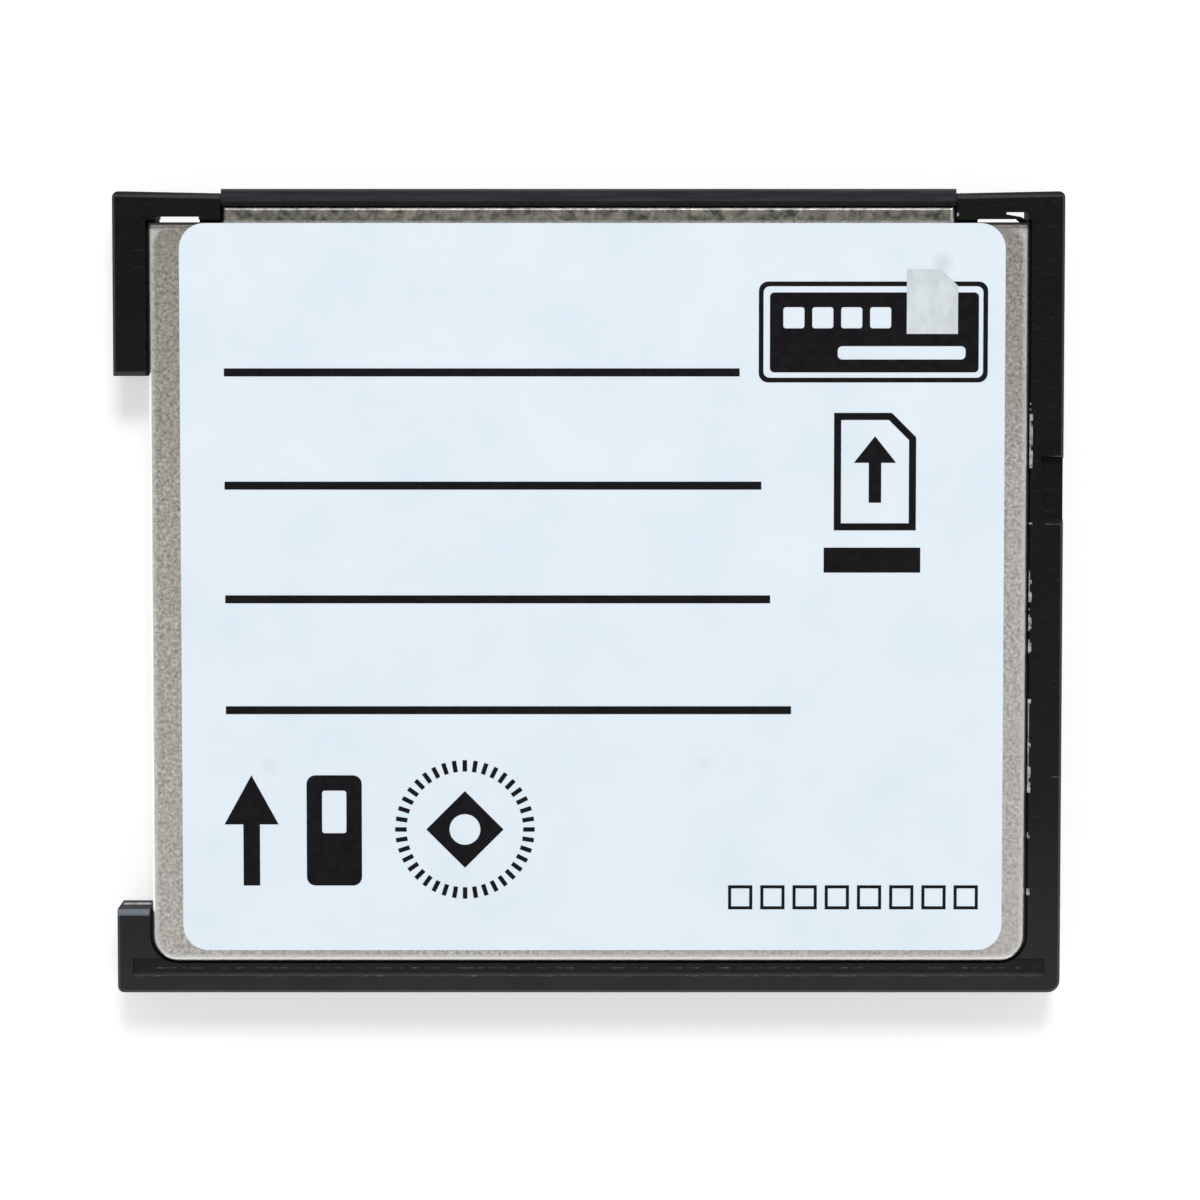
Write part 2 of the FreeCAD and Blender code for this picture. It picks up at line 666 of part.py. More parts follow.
def make_socket_contacts(label, sign):
    """A row of stamped contacts. Each grips a pin between two beams and is soldered to the board."""
    body = new_body(label)
    centre = f"({SEAM} + {sign} * row_spacing / 2)"
    board_face = f"({SEAM} + {sign} * board_thickness / 2)"

    def from_centre(offset):
        return f"({centre} + {sign} * ({offset}))"

    def from_board(offset):
        return f"({board_face} + {sign} * ({offset}))"

    foot_front = f"({HOUSING_REAR} - strip_clearance - tail_foot / 2)"
    foot_rear = f"({foot_front} - tail_foot)"
    plug_rear = f"({HOUSING_REAR} + contact_plug_start)"
    plug_front = f"({plug_rear} + contact_plug_length)"
    pinch = f"({HALF_DEPTH} - contact_pinch_depth)"
    tip = f"({HALF_DEPTH} - contact_tip_depth)"
    half_bore, half_tail, half_pinch = "socket_bore / 2", "tail_thickness / 2", "contact_pinch / 2"
    tip_out = "socket_bore / 2 - contact_tip_inset"
    profile = [
        (foot_rear, from_board("0")),
        (foot_front, from_board("0")),
        (f"({foot_front} + tail_bend)", from_centre(f"-{half_tail}")),
        (plug_rear, from_centre(f"-{half_tail}")),
        (plug_rear, from_centre(f"-{half_bore}")),
        (plug_front, from_centre(f"-{half_bore}")),
        (tip, from_centre(f"-({tip_out})")),
        (pinch, from_centre(f"-{half_pinch}")),
        (plug_front, from_centre(f"contact_beam - {half_bore}")),
        (plug_front, from_centre(f"{half_bore} - contact_beam")),
        (pinch, from_centre(half_pinch)),
        (tip, from_centre(tip_out)),
        (plug_front, from_centre(half_bore)),
        (plug_rear, from_centre(half_bore)),
        (plug_rear, from_centre(half_tail)),
        (f"({foot_front} + tail_bend - tail_thickness / 2)", from_centre(half_tail)),
        (f"({foot_front} - tail_thickness / 2)", from_board("tail_thickness")),
        (foot_rear, from_board("tail_thickness")),
    ]
    half = "(socket_bore / 2 - contact_side_clearance)"
    start = f"-{SOCKET_RUN} / 2"
    contact = pad(body, "contact", f"({start} - {half})", f"({start} + {half})", profile, role="YZ_Plane")
    row_of(body, "contacts", [contact], "X_Axis", SOCKET_RUN, SOCKET_COUNT)
    return body


def make_circuit_board():
    body = new_body("circuit_board")
    outline = board_outline("0")
    inside = outline.pop(1)
    pad(body, "plate", BOARD_UNDER, BOARD_TOP, board_outline("0"))
    dress(body, "Fillet", "corners", "board_corner_radius", upright_at(*outline))
    dress(body, "Fillet", "inside_corner", "strip_clearance", upright_at(inside))
    return body


def make_controller_chip():
    """A flat leadless chip under the board, with a row of terminals flush along each side."""
    body = new_body("controller_chip")
    x, half = f"(({BOARD_INNER} + {RAIL_INNER}) / 2)", "(board_foot_width / 2 - chip_margin)"
    y = f"({SLOT_CENTRE} - chip_shift)"
    low = level(PLAIN_SIDE, f"({PANEL_INSIDE} + chip_headroom)")
    pad(body, "body", low, BOARD_UNDER, around(x, y, half, half))
    inset = f"({half} - 2 * chip_mark_diameter)"
    mark = (f"({x} - {inset})", f"({y} + {inset})", "chip_mark_diameter")
    pocket(body, "mark", low, f"({low} + chip_mark_depth)", mark)
    count = f"(floor(2 * ({half} - chip_terminal_margin) / chip_terminal_pitch) + 1)"
    run = f"(({count} - 1) * chip_terminal_pitch)"
    reach = f"({half} + chip_terminal_proud)"
    first = f"({y} - {run} / 2)"
    bar = around(x, first, reach, "chip_terminal_width / 2")
    terminal = pad(body, "terminal", f"({BOARD_UNDER} - chip_terminal_height)", BOARD_UNDER, bar)
    row_of(body, "terminals", [terminal], "Y_Axis", run, count)
    return body


def make_voltage_regulator():
    """A small chip on top of the board, on five bent leads."""
    body = new_body("voltage_regulator")
    x, y = PARTS_MIDDLE, REGULATOR_Y
    bottom = f"({BOARD_TOP} + regulator_stand_off)"
    top = level(LABEL_SIDE, f"({PANEL_INSIDE} + regulator_headroom)")
    wide, long = "regulator_width / 2", "regulator_length / 2"
    pad(body, "body", bottom, top, around(x, y, wide, long))
    middle = f"(({bottom} + {top}) / 2)"
    foot = f"(regulator_span / 2 - regulator_width / 2)"
    for name, sign, offsets in (("left", "-1", ("-1", "0", "1")), ("right", "1", ("-1", "1"))):
        wall, end = f"({x} + {sign} * {wide})", f"({x} + {sign} * regulator_span / 2)"
        knee = f"({wall} + {sign} * {foot} / 2)"
        inward = f"({sign} * regulator_lead_sheet)"
        lead = [
            (f"({wall} - {inward})", middle),
            (f"({knee} - {inward})", middle),
            (f"({knee} - {inward})", BOARD_TOP),
            (end, BOARD_TOP),
            (end, f"({BOARD_TOP} + regulator_lead_sheet)"),
            (knee, f"({BOARD_TOP} + regulator_lead_sheet)"),
            (knee, f"({middle} + regulator_lead_sheet)"),
            (f"({wall} - {inward})", f"({middle} + regulator_lead_sheet)"),
        ]
        for number, offset in enumerate(offsets, start=1):
            place = f"({y} + {offset} * regulator_lead_pitch)"
            low, high = f"({place} - regulator_lead_width / 2)", f"({place} + regulator_lead_width / 2)"
            pad(body, f"{name}_lead_{number}", low, high, lead, role="XZ_Plane")
    return body


def make_passive_row(label, kind, y):
    """A row of identical two-ended parts, each a ceramic bar with slightly proud end caps."""
    body = new_body(label)
    x, half, wide = PARTS_MIDDLE, f"({kind}_length / 2)", f"({kind}_width / 2)"
    top = level(LABEL_SIDE, f"({PANEL_INSIDE} + {kind}_headroom)")
    slim, overlap = f"({wide} - end_cap_proud)", "(end_cap_length / 2)"
    ceramic = box(f"{x} - {half} + {overlap}", f"{x} + {half} - {overlap}", f"{y} - {slim}", f"{y} + {slim}")
    bar = pad(body, "bar", BOARD_TOP, f"({top} - end_cap_proud)", ceramic)
    left = box(f"{x} - {half}", f"{x} - {half} + end_cap_length", f"{y} - {wide}", f"{y} + {wide}")
    right = box(f"{x} + {half} - end_cap_length", f"{x} + {half}", f"{y} - {wide}", f"{y} + {wide}")
    caps = pad(body, "caps", BOARD_TOP, top, left, right)
    row_of(body, "row", [bar, caps], "Y_Axis", f"({kind}_count - 1) * {kind}_pitch", f"{kind}_count")
    return body


def card_contact_places():
    """Where the card contacts stand along Y, from the front: an even row with a closer last one."""
    first = f"({SLOT_FRONT} - card_side_clearance - first_contact_inset)"
    last = f"({SLOT_REAR} + card_side_clearance + last_contact_inset)"
    even_count = CARD_CONTACTS - 1
    pitch = f"(({first} - {last} - last_contact_pitch) / {even_count - 1})"
    return [f"({first} - {i} * {pitch})" for i in range(even_count)] + [last]


def make_card_contact_carrier(places):
    """The comb over the board's inner edge. A channel from below holds each spring."""
    body = new_body("card_contact_carrier")
    top = level(LABEL_SIDE, f"({PANEL_INSIDE} + carrier_headroom)")
    ends = (f"({places[-1]} - carrier_margin)", f"({places[0]} + carrier_margin)")
    pad(body, "block", BOARD_TOP, top, box(BOARD_INNER, CARRIER_REAR, *ends))
    ceiling = f"({BOARD_TOP} + contact_level + card_contact_sheet)"
    middle = f"(({BOARD_INNER} + {CARRIER_REAR}) / 2)"
    channels = [around(middle, y, "carrier_depth", "card_contact_width / 2") for y in places]
    pocket(body, "channels", f"({BOARD_TOP} - board_thickness)", ceiling, *channels)
    return body


def make_card_contact(number, y):
    """A bent spring strip: a soldered foot, a riser, a level stretch in the carrier and a sprung beam."""
    body = new_body(f"card_contact_{number}")
    sheet_size = "card_contact_sheet"
    level_z = f"({BOARD_TOP} + contact_level)"
    riser = f"({CARRIER_REAR} + card_contact_bend)"
    foot_end = FEET_END
    press_x = f"({CARD_END} - card_contact_reach)"
    press_z = f"({CARD_TOP} - card_pad_drop - card_contact_preload)"
    tip_x, tip_z = f"({press_x} - card_contact_tip)", f"({press_z} + card_contact_tip_rise)"
    profile = [
        (foot_end, BOARD_TOP),
        (foot_end, f"({BOARD_TOP} + {sheet_size})"),
        (f"({riser} + {sheet_size})", f"({BOARD_TOP} + {sheet_size})"),
        (f"({riser} + {sheet_size})", f"({level_z} + {sheet_size})"),
        (BOARD_INNER, f"({level_z} + {sheet_size})"),
        (press_x, f"({press_z} + {sheet_size})"),
        (tip_x, f"({tip_z} + {sheet_size})"),
        (tip_x, tip_z),
        (press_x, press_z),
        (BOARD_INNER, level_z),
        (riser, level_z),
        (riser, BOARD_TOP),
    ]
    low, high = f"({y} - card_contact_width / 2)", f"({y} + card_contact_width / 2)"
    pad(body, "strip", low, high, profile, role="XZ_Plane")
    press_line, levels = value(press_x), (value(press_z), value(press_z) + value(sheet_size))

    def press_edge(edge):
        bounds = edge.BoundBox
        in_line = bounds.YLength > NEAR and abs(bounds.XMin - press_line) < NEAR
        return in_line and any(abs(bounds.ZMin - z) < NEAR for z in levels)

    dress(body, "Fillet", "press_point", "2 * card_contact_sheet", press_edge)
    return body


def make_all():
    for side in (LABEL_SIDE, PLAIN_SIDE):
        yield make_half_frame(side)
        yield make_panel(side)
    yield make_label()
    yield make_connector_housing()
    yield make_socket_contacts("socket_contacts_upper", 1)
    yield make_socket_contacts("socket_contacts_lower", -1)
    yield make_circuit_board()
    yield make_controller_chip()
    yield make_voltage_regulator()
    yield make_passive_row("capacitors", "capacitor", CAPACITORS_REAR)
    yield make_passive_row("resistors", "resistor", RESISTORS_REAR)
    places = card_contact_places()
    yield make_card_contact_carrier(places)
    for number, y in enumerate(places, start=1):
        yield make_card_contact(number, y)


pieces = list(make_all())
doc.recompute()

for item in doc.Objects:
    if "Invalid" in item.State or "Error" in item.State:
        raise RuntimeError(f"{item.Label} is {item.State}")
for piece in pieces:
    if piece.Shape.isNull() or not piece.Shape.isValid():
        raise RuntimeError(f"{piece.Label} has no valid shape")

os.makedirs("parts", exist_ok=True)
for piece in pieces:
    piece.Shape.exportStep(f"parts/{piece.Label}.step")
    print(f"{piece.Label}: {len(piece.Shape.Solids)} solid(s), {piece.Shape.Volume:.3f} cubic mm")
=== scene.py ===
# %% [markdown]
# # Dressing a small card adapter
# The CAD part of this adapter is already packed: two moulded half frames, two steel covers, a label,
# a connector with fifty sockets, and a small circuit board with its spring contacts inside. This lesson
# loads those pieces into Blender, gives each one the finish it has on the real object, and adds what is
# too fine for the CAD: the print, the moulding flash and a few marks. Lengths are written in millimetres
# and multiplied by MM, because Blender and the CAD frame are both in metres. Only the floor, the lamps
# and the camera's near and far limits are given in metres.

# %% The tools, and an empty scene
import json
import math
import random

import bpy
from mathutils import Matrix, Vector

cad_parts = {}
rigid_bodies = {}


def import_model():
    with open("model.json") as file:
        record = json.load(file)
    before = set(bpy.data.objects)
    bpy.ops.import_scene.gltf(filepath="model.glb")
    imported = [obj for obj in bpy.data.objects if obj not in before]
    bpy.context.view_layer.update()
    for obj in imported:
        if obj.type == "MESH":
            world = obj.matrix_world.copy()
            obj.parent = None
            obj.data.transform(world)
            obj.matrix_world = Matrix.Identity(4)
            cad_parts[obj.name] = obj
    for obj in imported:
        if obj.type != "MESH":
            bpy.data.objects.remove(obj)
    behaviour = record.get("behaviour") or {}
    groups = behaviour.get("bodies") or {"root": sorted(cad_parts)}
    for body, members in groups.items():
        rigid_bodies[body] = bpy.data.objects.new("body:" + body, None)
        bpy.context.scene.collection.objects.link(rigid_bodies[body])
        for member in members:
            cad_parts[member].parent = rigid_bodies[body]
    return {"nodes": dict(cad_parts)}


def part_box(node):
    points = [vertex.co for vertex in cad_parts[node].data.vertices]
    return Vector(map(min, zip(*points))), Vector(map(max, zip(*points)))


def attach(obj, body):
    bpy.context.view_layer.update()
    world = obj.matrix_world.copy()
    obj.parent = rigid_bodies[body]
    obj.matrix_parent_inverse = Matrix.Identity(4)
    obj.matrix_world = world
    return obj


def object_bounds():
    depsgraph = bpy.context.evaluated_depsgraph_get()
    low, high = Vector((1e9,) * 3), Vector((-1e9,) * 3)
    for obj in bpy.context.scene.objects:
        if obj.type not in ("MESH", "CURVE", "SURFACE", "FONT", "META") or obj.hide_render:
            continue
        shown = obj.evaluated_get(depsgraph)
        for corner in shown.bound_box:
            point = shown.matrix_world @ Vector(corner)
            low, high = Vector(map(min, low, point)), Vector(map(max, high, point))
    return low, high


for leftover in list(bpy.data.objects):
    bpy.data.objects.remove(leftover)

MM = 0.001
WHITE = (1.0, 1.0, 1.0, 1.0)

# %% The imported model
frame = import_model()
cad_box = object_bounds()
print("CAD box in mm:", [round(c / MM, 2) for c in cad_box[0]], [round(c / MM, 2) for c in cad_box[1]])


def node_box(name):
    """The lowest and highest corner of a CAD node, in millimetres."""
    low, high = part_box(name)
    return low / MM, high / MM


LABEL_TOP = node_box("label")[1].z


# %% [markdown]
# ## Colours and nodes
# A picture shows sRGB colours, but a shader works in linear light. So every colour here is written as
# the hex value a painting program would show, and one function turns it to linear. A second function
# adds any node, with its settings and its links, so that each material below reads as a short list.

# %% A hex colour as linear light
TOE, TOE_SLOPE, OFFSET, POWER = 0.04045, 12.92, 0.055, 2.4


def colour(code):
    """A linear RGBA colour from an sRGB hex value such as 'e9f3fc'. The curve is straight near black."""
    parts = [int(code[i:i + 2], 16) / 255 for i in (0, 2, 4)]
    linear = [c / TOE_SLOPE if c <= TOE else ((c + OFFSET) / (1 + OFFSET)) ** POWER for c in parts]
    return (*linear, 1.0)


print("Label film in linear light:", [round(c, 3) for c in colour("e9f3fc")])


# %% One function for every node
def add_node(tree, kind, inputs=None, **settings):
    """A new node. Inputs are given by socket name or number, as a value or as the output that feeds it."""
    node = tree.nodes.new(kind)
    for name, value in settings.items():
        setattr(node, name, value)
    for name, value in (inputs or {}).items():
        if isinstance(value, bpy.types.NodeSocket):
            tree.links.new(value, node.inputs[name])
        else:
            node.inputs[name].default_value = value
    return node


# %% Numbers and vectors
def calculate(tree, operation, *values):
    """The result of one Math node."""
    return add_node(tree, "ShaderNodeMath", dict(enumerate(values)), operation=operation).outputs[0]


def calculate_vector(tree, operation, *values):
    """The results of one Vector Math node, under the names Vector and Value."""
    return add_node(tree, "ShaderNodeVectorMath", dict(enumerate(values)), operation=operation).outputs


def split(tree, vector):
    """The three parts of a vector, under the names X, Y and Z."""
    return add_node(tree, "ShaderNodeSeparateXYZ", {0: vector}).outputs


# %% [markdown]
# Every finish starts the same way: a Principled shader, and the piece's own coordinates in millimetres.
# Object coordinates are used, so a pattern stays fixed on the piece from any side. The scale of each
# noise is then simply one over the size of its grains in millimetres.

# %% A new finish and its coordinates
def new_finish(name, **sockets):
    """A material with a Principled shader. Returns the material, its tree, the shader and the place in mm."""
    material = bpy.data.materials.new(name)
    material.use_nodes = True
    tree = material.node_tree
    shader = tree.nodes["Principled BSDF"]
    for socket, value in sockets.items():
        shader.inputs[socket.replace("_", " ")].default_value = value
    place = add_node(tree, "ShaderNodeTexCoord").outputs["Object"]
    in_mm = add_node(tree, "ShaderNodeVectorMath", {0: place, "Scale": 1 / MM}, operation="SCALE")
    return material, tree, shader, in_mm.outputs[0]


def connect(tree, shader, **sockets):
    """Feeds outputs to the shader's sockets. A socket's name is written with _ for each space."""
    for socket, output in sockets.items():
        tree.links.new(output, shader.inputs[socket.replace("_", " ")])


def raise_surface(tree, shader, height, depth, strength):
    """Bump from a height between 0 and 1, over a depth in mm."""
    bump = add_node(tree, "ShaderNodeBump", {"Height": height, "Distance": depth * MM, "Strength": strength})
    connect(tree, shader, Normal=bump.outputs[0])


# %% [markdown]
# A pattern is noise, and a mask is a number that is 0 in one place and 1 in another. Masks follow rules
# such as past an edge, or farther than so much from the middle, and two of them join with both or either.

# %% Patterns and masks
NOISE_LOW, NOISE_HIGH = 0.35, 0.65
WIDE = (0.3, 0.7)


def grain(tree, place, size, detail=3, stretch=(1, 1, 1), roughness=0.55):
    """Noise between 0 and 1, with grains of that size in mm, drawn out along an axis by stretch."""
    scale = [1 / (size * s) for s in stretch]
    shaped = add_node(tree, "ShaderNodeMapping", {"Vector": place, "Scale": scale})
    noise = add_node(tree, "ShaderNodeTexNoise", {
        "Vector": shaped.outputs[0], "Scale": 1.0, "Detail": detail, "Roughness": roughness})
    return noise.outputs["Fac"]


def between(tree, value, low=NOISE_LOW, high=NOISE_HIGH, start=0.0, end=1.0):
    """The value mapped from low..high to start..end, and clamped. Most of any noise is in the usual range,
    and a wider one gives less contrast."""
    inputs = {"Value": value, "From Min": low, "From Max": high, "To Min": start, "To Max": end}
    return add_node(tree, "ShaderNodeMapRange", inputs).outputs[0]


def beyond(tree, value, edge, blur):
    """0 below an edge and 1 above it, softened by blur on both sides. A negative blur swaps the sides."""
    return between(tree, value, edge - blur, edge + blur)


def past(tree, place, axis, middle, reach, blur=0.01):
    """1 where the place on that axis is farther than reach from the middle, and 0 nearer in."""
    away = calculate(tree, "ABSOLUTE", calculate(tree, "SUBTRACT", split(tree, place)[axis], middle))
    return beyond(tree, away, reach, blur)


def both(tree, first, second):
    """1 where both masks are 1: their product."""
    return calculate(tree, "MULTIPLY", first, second)


def either(tree, first, second):
    """1 where one mask or the other is 1: the greater of the two."""
    return calculate(tree, "MAXIMUM", first, second)


def blend_colours(tree, amount, first, second):
    """The first colour where the amount is 0, and the second where it is 1, as hex values or outputs."""
    pair = [colour(c) if isinstance(c, str) else c for c in (first, second)]
    return add_node(tree, "ShaderNodeMix", {0: amount, 6: pair[0], 7: pair[1]}, data_type="RGBA").outputs[2]


# %% [markdown]
# ## The moulded frame
# The two half frames are glass-filled PBT, injection moulded and welded together. The steel of the tool
# is spark eroded, so the plastic has a fine matt grain of about 0.1 mm, which the eye sees as a soft
# black with no clear highlight. Glass fibres near the skin make faint, long, lighter flecks.
#
# These changes of tone could be painted by hand, but here they follow rules worked out from the place on the
# frame. The rear half is greyer, and the outer faces at the rear edge lighter still, while the sunk ledge
# beside them stays nearly black. The bevel at the end of the rear leg is pale, a painted highlight of the
# light from the connector side. Walls that stand along the tool's draw, and the front edges, are duller.

# %% Glass-filled PBT, spark-eroded grain
GREY_FROM_TO, REAR_EDGE_FROM_TO = (4.0, -8.0), (-9.0, -18.0)
MID_HEIGHT, OUTER_FACE, LEDGE_SHARE = 1.65, 1.58, 0.3
BEVEL_MIDDLE, BEVEL_REACH, BEVEL_FOOT, LEG_SIDE = -14.53, 0.14, 3.06, -19.95
FRONT_EDGE, WALL_SLOPE, DULL_ROUGHNESS = 17.92, 0.3, 0.75


def moulded_pbt():
    material, tree, shader, place = new_finish("glass_filled_pbt", IOR=1.55, Specular_IOR_Level=0.22)
    cloud = grain(tree, place, size=2.6, detail=4)
    erosion = grain(tree, place, size=0.11, detail=2)
    fibres = grain(tree, place, size=0.09, detail=1, stretch=(6, 1, 1))
    at = split(tree, place)
    tone = blend_colours(tree, between(tree, cloud), "040405", "090a0b")

    # The rear half is greyer, and the outer faces at the rear edge are lighter still
    tone = blend_colours(tree, between(tree, at["Y"], *GREY_FROM_TO, end=0.5), tone, "141517")
    proud = either(tree, past(tree, place, "Z", MID_HEIGHT, OUTER_FACE, blur=0.04), LEDGE_SHARE)
    uneven = between(tree, cloud, 0.2, 0.7, start=0.8)
    lighter_rear = both(tree, between(tree, at["Y"], *REAR_EDGE_FROM_TO), uneven)
    tone = blend_colours(tree, both(tree, lighter_rear, proud), tone, "272729")
    tone = blend_colours(tree, between(tree, fibres, 0.66, 0.78, end=0.5), tone, "2e2e31")

    # The bevel at the end of the rear leg, pale: a painted highlight
    off_leg = beyond(tree, at["X"], LEG_SIDE, blur=0.05)
    off_bevel_highlight = either(tree, past(tree, place, "Y", BEVEL_MIDDLE, BEVEL_REACH), off_leg)
    off_bevel_highlight = either(tree, off_bevel_highlight, beyond(tree, at["Z"], BEVEL_FOOT, blur=-0.02))
    tone = blend_colours(tree, off_bevel_highlight, "5d646c", tone)

    # Upright walls and front edges
    facing = add_node(tree, "ShaderNodeNewGeometry").outputs["True Normal"]
    wall = beyond(tree, calculate(tree, "ABSOLUTE", split(tree, facing)["Z"]), WALL_SLOPE, blur=-0.05)
    dull = both(tree, either(tree, wall, beyond(tree, at["Y"], FRONT_EDGE, blur=0.04)), DULL_ROUGHNESS)
    fine = between(tree, erosion, *WIDE, start=0.3, end=0.42)
    connect(tree, shader, Base_Color=tone, Roughness=either(tree, fine, dull))
    raise_surface(tree, shader, erosion, depth=0.008, strength=0.8)
    return material


# %% [markdown]
# ## The connector moulding
# A liquid crystal polymer flows almost like water, so thin walls between fifty sockets can be filled.
# It keeps flow lines along the bar and is a little bluer than the frame. The strip of the bar beside the
# cover's tab is painted near black, as painted shade from the tab.

# %% Liquid crystal polymer with flow lines
def moulded_lcp(name, dark, light, along, shade_to=None):
    material, tree, shader, place = new_finish(name, IOR=1.6, Specular_IOR_Level=0.2)
    flow = grain(tree, place, size=0.16, stretch=along)
    fine = grain(tree, place, size=0.08, detail=2)
    tone = blend_colours(tree, between(tree, flow, 0.35, 0.68), dark, light)
    if shade_to is not None:
        # Painted shade: near black behind this edge, beside the cover's tab
        unshaded = beyond(tree, split(tree, place)["Y"], shade_to, blur=0.04)
        tone = blend_colours(tree, unshaded, "020304", tone)
    connect(tree, shader, Base_Color=tone, Roughness=between(tree, fine, *WIDE, start=0.36, end=0.5))
    raise_surface(tree, shader, fine, depth=0.004, strength=0.7)
    return material


# %% [markdown]
# ## The steel covers
# The covers are stamped from thin stainless sheet with a dull rolled finish. Up close the surface is
# pitted and mottled: warm grey with small darker and lighter patches. The real ones are finer than a
# picture of the whole adapter can show, so they are drawn about a sixth of a millimetre across here.
# Painted light makes the rear half a little lighter than the half beside the connector. The front tab was
# rubbed by the press tool, so its patches are coarser and darker, and its front and right edges carry painted
# highlights. A painted highlight makes the bend round the cover a light line, most of all at the rear. The
# two front ends were sheared, so they are dull, and painted shade makes them dark.

# %% The bend's painted highlight
BEND_REACH, BEND_START, BEND_FRONT = 1.15, 0.91, 16.375
BRIGHTER_FROM_TO = (-12.0, -16.5)


def bend_highlight(tree, place, y):
    """The painted highlight: 1 on the rounded bend round the cover, most of all at its rear, and 0 on the
    flat.
    """
    low, high = node_box("label_side_panel")
    corner = Vector((high.x - BEND_REACH, -low.y - BEND_REACH, 0))
    flat = calculate_vector(tree, "MULTIPLY", place, (1, 1, 0))["Vector"]
    folded = calculate_vector(tree, "ABSOLUTE", flat)["Vector"]
    past_corner = calculate_vector(tree, "SUBTRACT", folded, corner)["Vector"]
    outside = calculate_vector(tree, "MAXIMUM", past_corner, (0, 0, 0))["Vector"]
    reach = calculate_vector(tree, "LENGTH", outside)["Value"]
    behind_front = beyond(tree, y, BEND_FRONT, blur=-0.075)
    strength = both(tree, between(tree, y, *BRIGHTER_FROM_TO, start=0.7), behind_front)
    return both(tree, beyond(tree, reach, BEND_START, blur=0.11), strength)


# %% Dull rolled stainless steel
DARKER_FROM_TO, LIGHTER_FROM_TO = (2.0, 16.0), (0.0, -16.0)
RIGHT_X_FROM_TO, RIGHT_Y_FROM_TO = (17.5, 19.0), (10.0, 5.0)
TAB_BACK, TAB_FRONT_LINE, TAB_SIDE_LINE = 16.77, (17.26, 17.36), (16.22, 16.30)
SHEARED_BACK, SHEARED_SIDE = 16.51, 16.5


def rolled_steel():
    material, tree, shader, place = new_finish("dull_rolled_stainless", Metallic=1.0)
    at = split(tree, place)
    x, y = at["X"], at["Y"]
    pits = grain(tree, place, size=0.16, roughness=0.65)
    patches = grain(tree, place, size=0.42, roughness=0.6)
    drift = grain(tree, place, size=5.0, detail=2)

    # The flat sheet: painted light makes it darker towards the connector and lighter at the rear, and it is
    # lighter on the right side
    body = blend_colours(tree, between(tree, pits, 0.34, 0.66), "a8a49d", "eae6df")
    body = blend_colours(tree, between(tree, drift, end=0.35), body, "c2b9af")
    body = blend_colours(tree, between(tree, y, *DARKER_FROM_TO, end=0.5), body, "8a867f")
    body = blend_colours(tree, between(tree, y, *LIGHTER_FROM_TO, end=0.15), body, "f0eee8")
    right_side = both(tree, between(tree, x, *RIGHT_X_FROM_TO, end=0.2), between(tree, y, *RIGHT_Y_FROM_TO))
    body = blend_colours(tree, right_side, body, "f6f4f0")

    # The bend's painted highlight, and the sheared ends
    body = blend_colours(tree, bend_highlight(tree, place, y), body, "f8f7f3")
    # Painted shade darkens the two sheared front ends, which are also rough and dull
    off_tab = past(tree, place, "X", 0.0, SHEARED_SIDE, blur=0.05)
    sheared_shaded_ends = both(tree, beyond(tree, y, SHEARED_BACK, blur=0.09), off_tab)
    body = blend_colours(tree, sheared_shaded_ends, body, "55514c")

    # The tab, with painted highlights: a lighter line along its front and a light one along its right edge
    rubbed_tab_with_highlights = blend_colours(tree, between(tree, patches, 0.32, 0.66), "53524e", "9f9c94")
    rubbed_tab_with_highlights = blend_colours(tree, between(tree, y, *TAB_FRONT_LINE, end=0.3), rubbed_tab_with_highlights, "eeebe4")
    rubbed_tab_with_highlights = blend_colours(tree, between(tree, x, *TAB_SIDE_LINE, end=0.85), rubbed_tab_with_highlights, "eeebe4")
    tone = blend_colours(tree, beyond(tree, y, TAB_BACK, blur=0.05), body, rubbed_tab_with_highlights)

    fine = between(tree, pits, 0.25, 0.75, start=0.36, end=0.52)
    connect(tree, shader, Base_Color=tone, Roughness=either(tree, fine, both(tree, sheared_shaded_ends, DULL_ROUGHNESS)))
    raise_surface(tree, shader, pits, depth=0.012, strength=0.6)
    return material


# %% [markdown]
# ## The label and its ink
# The label is a coated polyester film: very smooth, almost white with a cool cast, and a little glossy.
# It is not perfectly even, because the adhesive under it pulls in places, so a soft cloud changes its tone
# by a few percent. A few faint smudges, about a millimetre wide, sit on it. Each smudge below is its x and
# y in millimetres, its radius and its strength.

# %% Coated polyester film
SMUDGES = [(15.9, 14.9, 0.6, 0.32), (-14.45, -7.85, 0.6, 0.12), (5.2, -7.7, 0.5, 0.10)]


def label_film():
    material, tree, shader, place = new_finish("coated_polyester_film", IOR=1.5, Roughness=0.42)
    cloud = grain(tree, place, size=4.0)
    fine = grain(tree, place, size=0.3, detail=2)
    tone = blend_colours(tree, between(tree, cloud), "e3eff8", "e9f3fc")
    for x, y, radius, strength in SMUDGES:
        away = calculate_vector(tree, "DISTANCE", place, (x, y, LABEL_TOP))["Value"]
        tone = blend_colours(tree, between(tree, away, 0.0, radius, start=strength, end=0.0), tone, "9aa3ab")
    connect(tree, shader, Base_Color=tone)
    raise_surface(tree, shader, fine, depth=0.002, strength=0.4)
    return material


# %% Ink and thin plastic, mottled by one noise
def mottled(name, dark, light, size, spread, depth, strength, stretch=(1, 1, 1), **sockets):
    """A finish between two tones. One noise sets the tone, over a spread of its values, and the bump."""
    material, tree, shader, place = new_finish(name, **sockets)
    mottle = grain(tree, place, size, stretch=stretch)
    connect(tree, shader, Base_Color=blend_colours(tree, between(tree, mottle, *spread), dark, light))
    raise_surface(tree, shader, mottle, depth, strength)
    return material


ink_finish = mottled("black_flexo_ink", "0e0e11", "18181c", size=0.35, spread=(0.35, 0.7), depth=0.001,
                     strength=0.4, IOR=1.5, Specular_IOR_Level=0.12, Roughness=0.4)
pale_finish = mottled("pale_grey_ink", "c9d1d6", "dde4e8", size=0.6, spread=(0.35, 0.65), depth=0.001,
                      strength=0.3, stretch=(1, 2.5, 1), IOR=1.5, Roughness=0.45)


